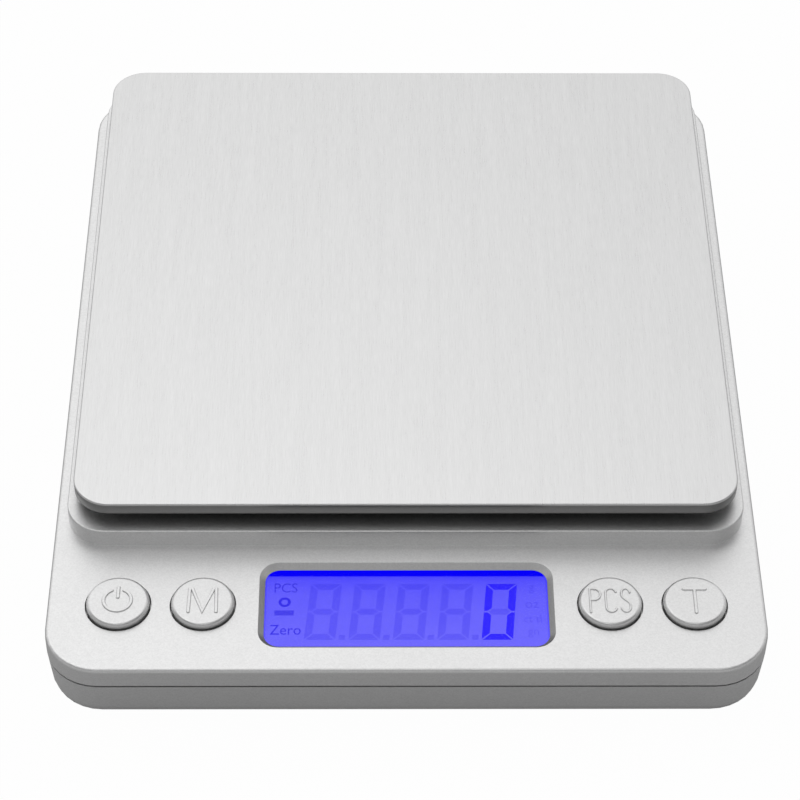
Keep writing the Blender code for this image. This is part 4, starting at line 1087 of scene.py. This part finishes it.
# %% [markdown]
# ## Screws
#
# Pan-head screws with a cross recess hold the housing, the beam and the board. One screw is turned from
# a profile, with a ridge for each turn of its thread. Its cross is an outline on the head, filled out to
# the rim and joined to the same outline lower down, which is quicker and cleaner than cutting with a
# Boolean. Geometry Nodes set one screw at every place where the model has one.

# %% Screws with a cross recess
SCREW_SIDES = 32
THREAD_PITCH = 0.5 * MM


def ring_of(shape, radius, height, sides=SCREW_SIDES):
    """A ring of points at one height."""
    turns = [2 * math.pi * n / sides for n in range(sides)]
    return [shape.verts.new((radius * math.cos(turn), radius * math.sin(turn), height)) for turn in turns]


def cross_outline(shape, reach, half, height):
    """The twelve corners of a cross, anticlockwise."""
    quarter = [(reach, -half), (reach, half), (half, half)]
    corners = []
    for turn in range(4):
        for x, y in quarter:
            for _ in range(turn):
                x, y = -y, x
            corners.append(shape.verts.new((x, y, height)))
    return corners


def edges_round(shape, ring):
    """The edges of a closed ring of points, made where they are missing."""
    return [shape.edges.get((a, b)) or shape.edges.new((a, b)) for a, b in zip(ring, ring[1:] + ring[:1])]


def screw_mesh(name, head, head_height, shank, length):
    """A screw that hangs from its head's top face, which lies at zero and looks up."""
    shape = bmesh.new()
    crown = 0.45 * head_height
    levels = []
    height = -length
    while height < -head_height - THREAD_PITCH:
        levels += [(shank * 0.78, height), (shank * 0.97, height + THREAD_PITCH / 2)]
        height += THREAD_PITCH
    levels += [(shank * 0.78, -head_height), (head, -head_height), (head, -crown),
               (head * 0.94, -crown * 0.42), (head * 0.82, -crown * 0.08), (head * 0.70, 0.0)]
    rings = [ring_of(shape, radius, level) for radius, level in levels]
    for low, high in zip(rings, rings[1:]):
        for first in range(SCREW_SIDES):
            second = (first + 1) % SCREW_SIDES
            shape.faces.new((low[first], low[second], high[second], high[first]))
    shape.faces.new(reversed(rings[0]))
    cross = [cross_outline(shape, head * reach, head * half, level)
             for reach, half, level in ((0.36, 0.07, -0.8 * head_height), (0.52, 0.13, 0.0))]
    bottom, top = cross
    for first in range(12):
        second = (first + 1) % 12
        shape.faces.new((bottom[second], bottom[first], top[first], top[second]))
    shape.faces.new(bottom)
    rim = edges_round(shape, rings[-1]) + edges_round(shape, top)
    bmesh.ops.triangle_fill(shape, edges=rim, use_beauty=True, normal=(0, 0, 1))
    bmesh.ops.recalc_face_normals(shape, faces=shape.faces)
    return mesh_of(name, shape)


# each set: head radius, head height and shank radius in millimetres, and whether its heads look up
SCREW_SETS = {"housing_screws": (2.2, 1.4, 1.0, False), "cell_screws": (2.7, 1.2, 1.5, False),
              "carrier_screws": (2.7, 1.2, 1.5, True), "board_screws": (1.7, 1.0, 0.8, True)}
for name, (head, head_height, shank, upward) in SCREW_SETS.items():
    nodes = [node for node in frame["nodes"] if node.startswith(name[:-1] + "_")]
    boxes = [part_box(node) for node in nodes]
    length = boxes[0][1][2] - boxes[0][0][2]
    mesh = screw_mesh(name, head * MM, head_height * MM, shank * MM, length)
    if not upward:
        mesh.transform(Matrix.Rotation(math.pi, 4, "X"))
    points = [((low[0] + high[0]) / 2, (low[1] + high[1]) / 2, high[2] if upward else low[2])
              for low, high in boxes]
    settle(grown_at(name, mesh, points, "zinc_plate"), BODY_OF[nodes[0]], "zinc_plate", *nodes)
    print(name, len(nodes), "of length", round(length * 1000, 1), "mm")


# %% [markdown]
# ## Feet
#
# Round rubber feet keep the scale from sliding. Their undersides carry three ring-shaped ribs, which
# grip better than a flat disc, so one foot is turned from a profile that dips between the ribs.

# %% Ribbed feet
FOOT_RIBS = 3
RIB_DEPTH = 0.25 * MM
FOOT_EDGE = 0.1 * MM


def foot_mesh(radius, height):
    """A rubber disc whose underside, at zero, carries round ribs."""
    shape = bmesh.new()
    levels = []
    pitch = 0.24 * radius
    for rib in range(FOOT_RIBS):
        inner = pitch * (1 + rib)
        for twelfths, rise in ((0, RIB_DEPTH), (3, 0.0), (7, 0.0), (10, RIB_DEPTH)):
            levels.append((inner + pitch * twelfths / 12, rise))
    levels += [(radius * 0.97, RIB_DEPTH), (radius, RIB_DEPTH + 1.5 * FOOT_EDGE),
               (radius, height - FOOT_EDGE), (radius * 0.97, height)]
    rings = [ring_of(shape, distance, level, 48) for distance, level in levels]
    skin(shape, rings)
    shape.faces.new(reversed(rings[0]))
    return mesh_of("foot", shape)


feet = [node for node in frame["nodes"] if node.startswith("foot_")]
low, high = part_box(feet[0])
points = []
for node in feet:
    corner, far_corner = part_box(node)
    points.append(((corner[0] + far_corner[0]) / 2, (corner[1] + far_corner[1]) / 2, low[2]))
foot = foot_mesh((high[0] - low[0]) / 2, high[2] - low[2])
settle(grown_at("feet", foot, points, "black_rubber"), "root", "black_rubber", *feet)
print("feet:", len(feet))


# %% [markdown]
# ## The grip on the battery door
#
# A thumb pushes the door open, so it has a patch of low ribs near its free edge. They stand about a
# quarter of a millimetre out of the door, too low for the solid model. The same row tree that spaces the
# figures spaces the ribs.

# %% Grip ribs on the battery door
RIBS = 6
RIB_SIZE = (13.0 * MM, 0.55 * MM, 0.28 * MM)
RIB_STEP = 1.1 * MM
RIB_EDGE = 0.1 * MM
GRIP_MARGIN = 3.0 * MM
door_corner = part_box("battery_door")[0]


def rib_mesh(start):
    """A low bar with rounded edges."""
    shape = bmesh.new()
    bar = Matrix.Translation(start) @ Matrix.Diagonal((*RIB_SIZE, 1))
    bmesh.ops.create_cube(shape, size=1.0, matrix=bar)
    bmesh.ops.bevel(shape, geom=shape.edges, offset=RIB_EDGE, segments=2, affect="EDGES", profile=0.5)
    return mesh_of("rib", shape)


first = Vector((0, door_corner[1] + GRIP_MARGIN, door_corner[2] - RIB_EDGE))
settle(grown("door_grip", rib_mesh(first), ROW, "lower_paint", Count=RIBS, Step=(0.0, RIB_STEP, 0.0)),
       "battery_door", "silver_paint", finish="lower_paint")
print("door grip:", RIBS, "ribs")


# %% [markdown]
# ## The legs of the chips
#
# Chips of this kind are soldered by rows of thin legs that bend down to the board like a gull's wing.
# One leg is a strip that follows four points and is given the plate's thickness; the row tree repeats it
# along each long side of both chips.

# %% Legs of the two chips
LEG_PATH = [(0.0, 0.55), (0.25, 0.55), (0.4, 0.1), (0.8, 0.08)]
LEG_WIDTH = 0.3 * MM
LEG_THICKNESS = 0.1 * MM


def leg_mesh(chip_side, outward, board_top):
    """A bent leg: out of the chip's side, down, and along the board."""
    shape = bmesh.new()
    rows = []
    for reach, rise in LEG_PATH:
        y, z = chip_side[1] + outward * reach * MM, board_top + rise * MM
        rows.append([shape.verts.new((chip_side[0] + side * LEG_WIDTH / 2, y, z)) for side in (-1, 1)])
    for a, b in zip(rows, rows[1:]):
        shape.faces.new((a[0], a[1], b[1], b[0]))
    bmesh.ops.solidify(shape, geom=shape.faces[:], thickness=LEG_THICKNESS)
    bmesh.ops.recalc_face_normals(shape, faces=shape.faces)
    return mesh_of("leg", shape)


board_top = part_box("main_board")[1][2]
for chip, count in (("controller_chip", 12), ("amplifier_chip", 6)):
    low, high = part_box(chip)
    step = (high[0] - low[0]) / count
    for side, (y, outward) in {"front": (low[1], -1), "rear": (high[1], 1)}.items():
        legs = grown(f"{chip}_legs_{side}", leg_mesh((low[0] + step / 2, y), outward, board_top), ROW,
                     "nickel_strip", Count=count, Step=(step, 0.0, 0.0))
        settle(legs, "root", "nickel_strip")
    print(chip, 2 * count, "legs")


# %% [markdown]
# ## The rest of the working parts
#
# The remaining nodes already have their true shape: the board and its chips, the beam, the carrier, the
# cells and their springs. Drawing them again would add nothing, so each gets a merged copy with its own
# finish, and the larger ones a fine edge, for the view in through the open battery door.

# %% Finish the remaining parts
FINE_EDGE = {"battery_front": 0.1, "battery_rear": 0.1, "display_frame": 0.08, "platform_carrier": 0.15,
             "load_cell": 0.1, "main_board": 0.04, "controller_chip": 0.05, "amplifier_chip": 0.05}


done = {node for node, model in frame["nodes"].items() if model.hide_render}
for node in frame["nodes"]:
    if node not in done:
        settle(finished_copy(node, edge=FINE_EDGE.get(node, 0.0) * MM), BODY_OF[node], SLOT_OF[node], node)
print("merged copies:", len(frame["nodes"]) - len(done))
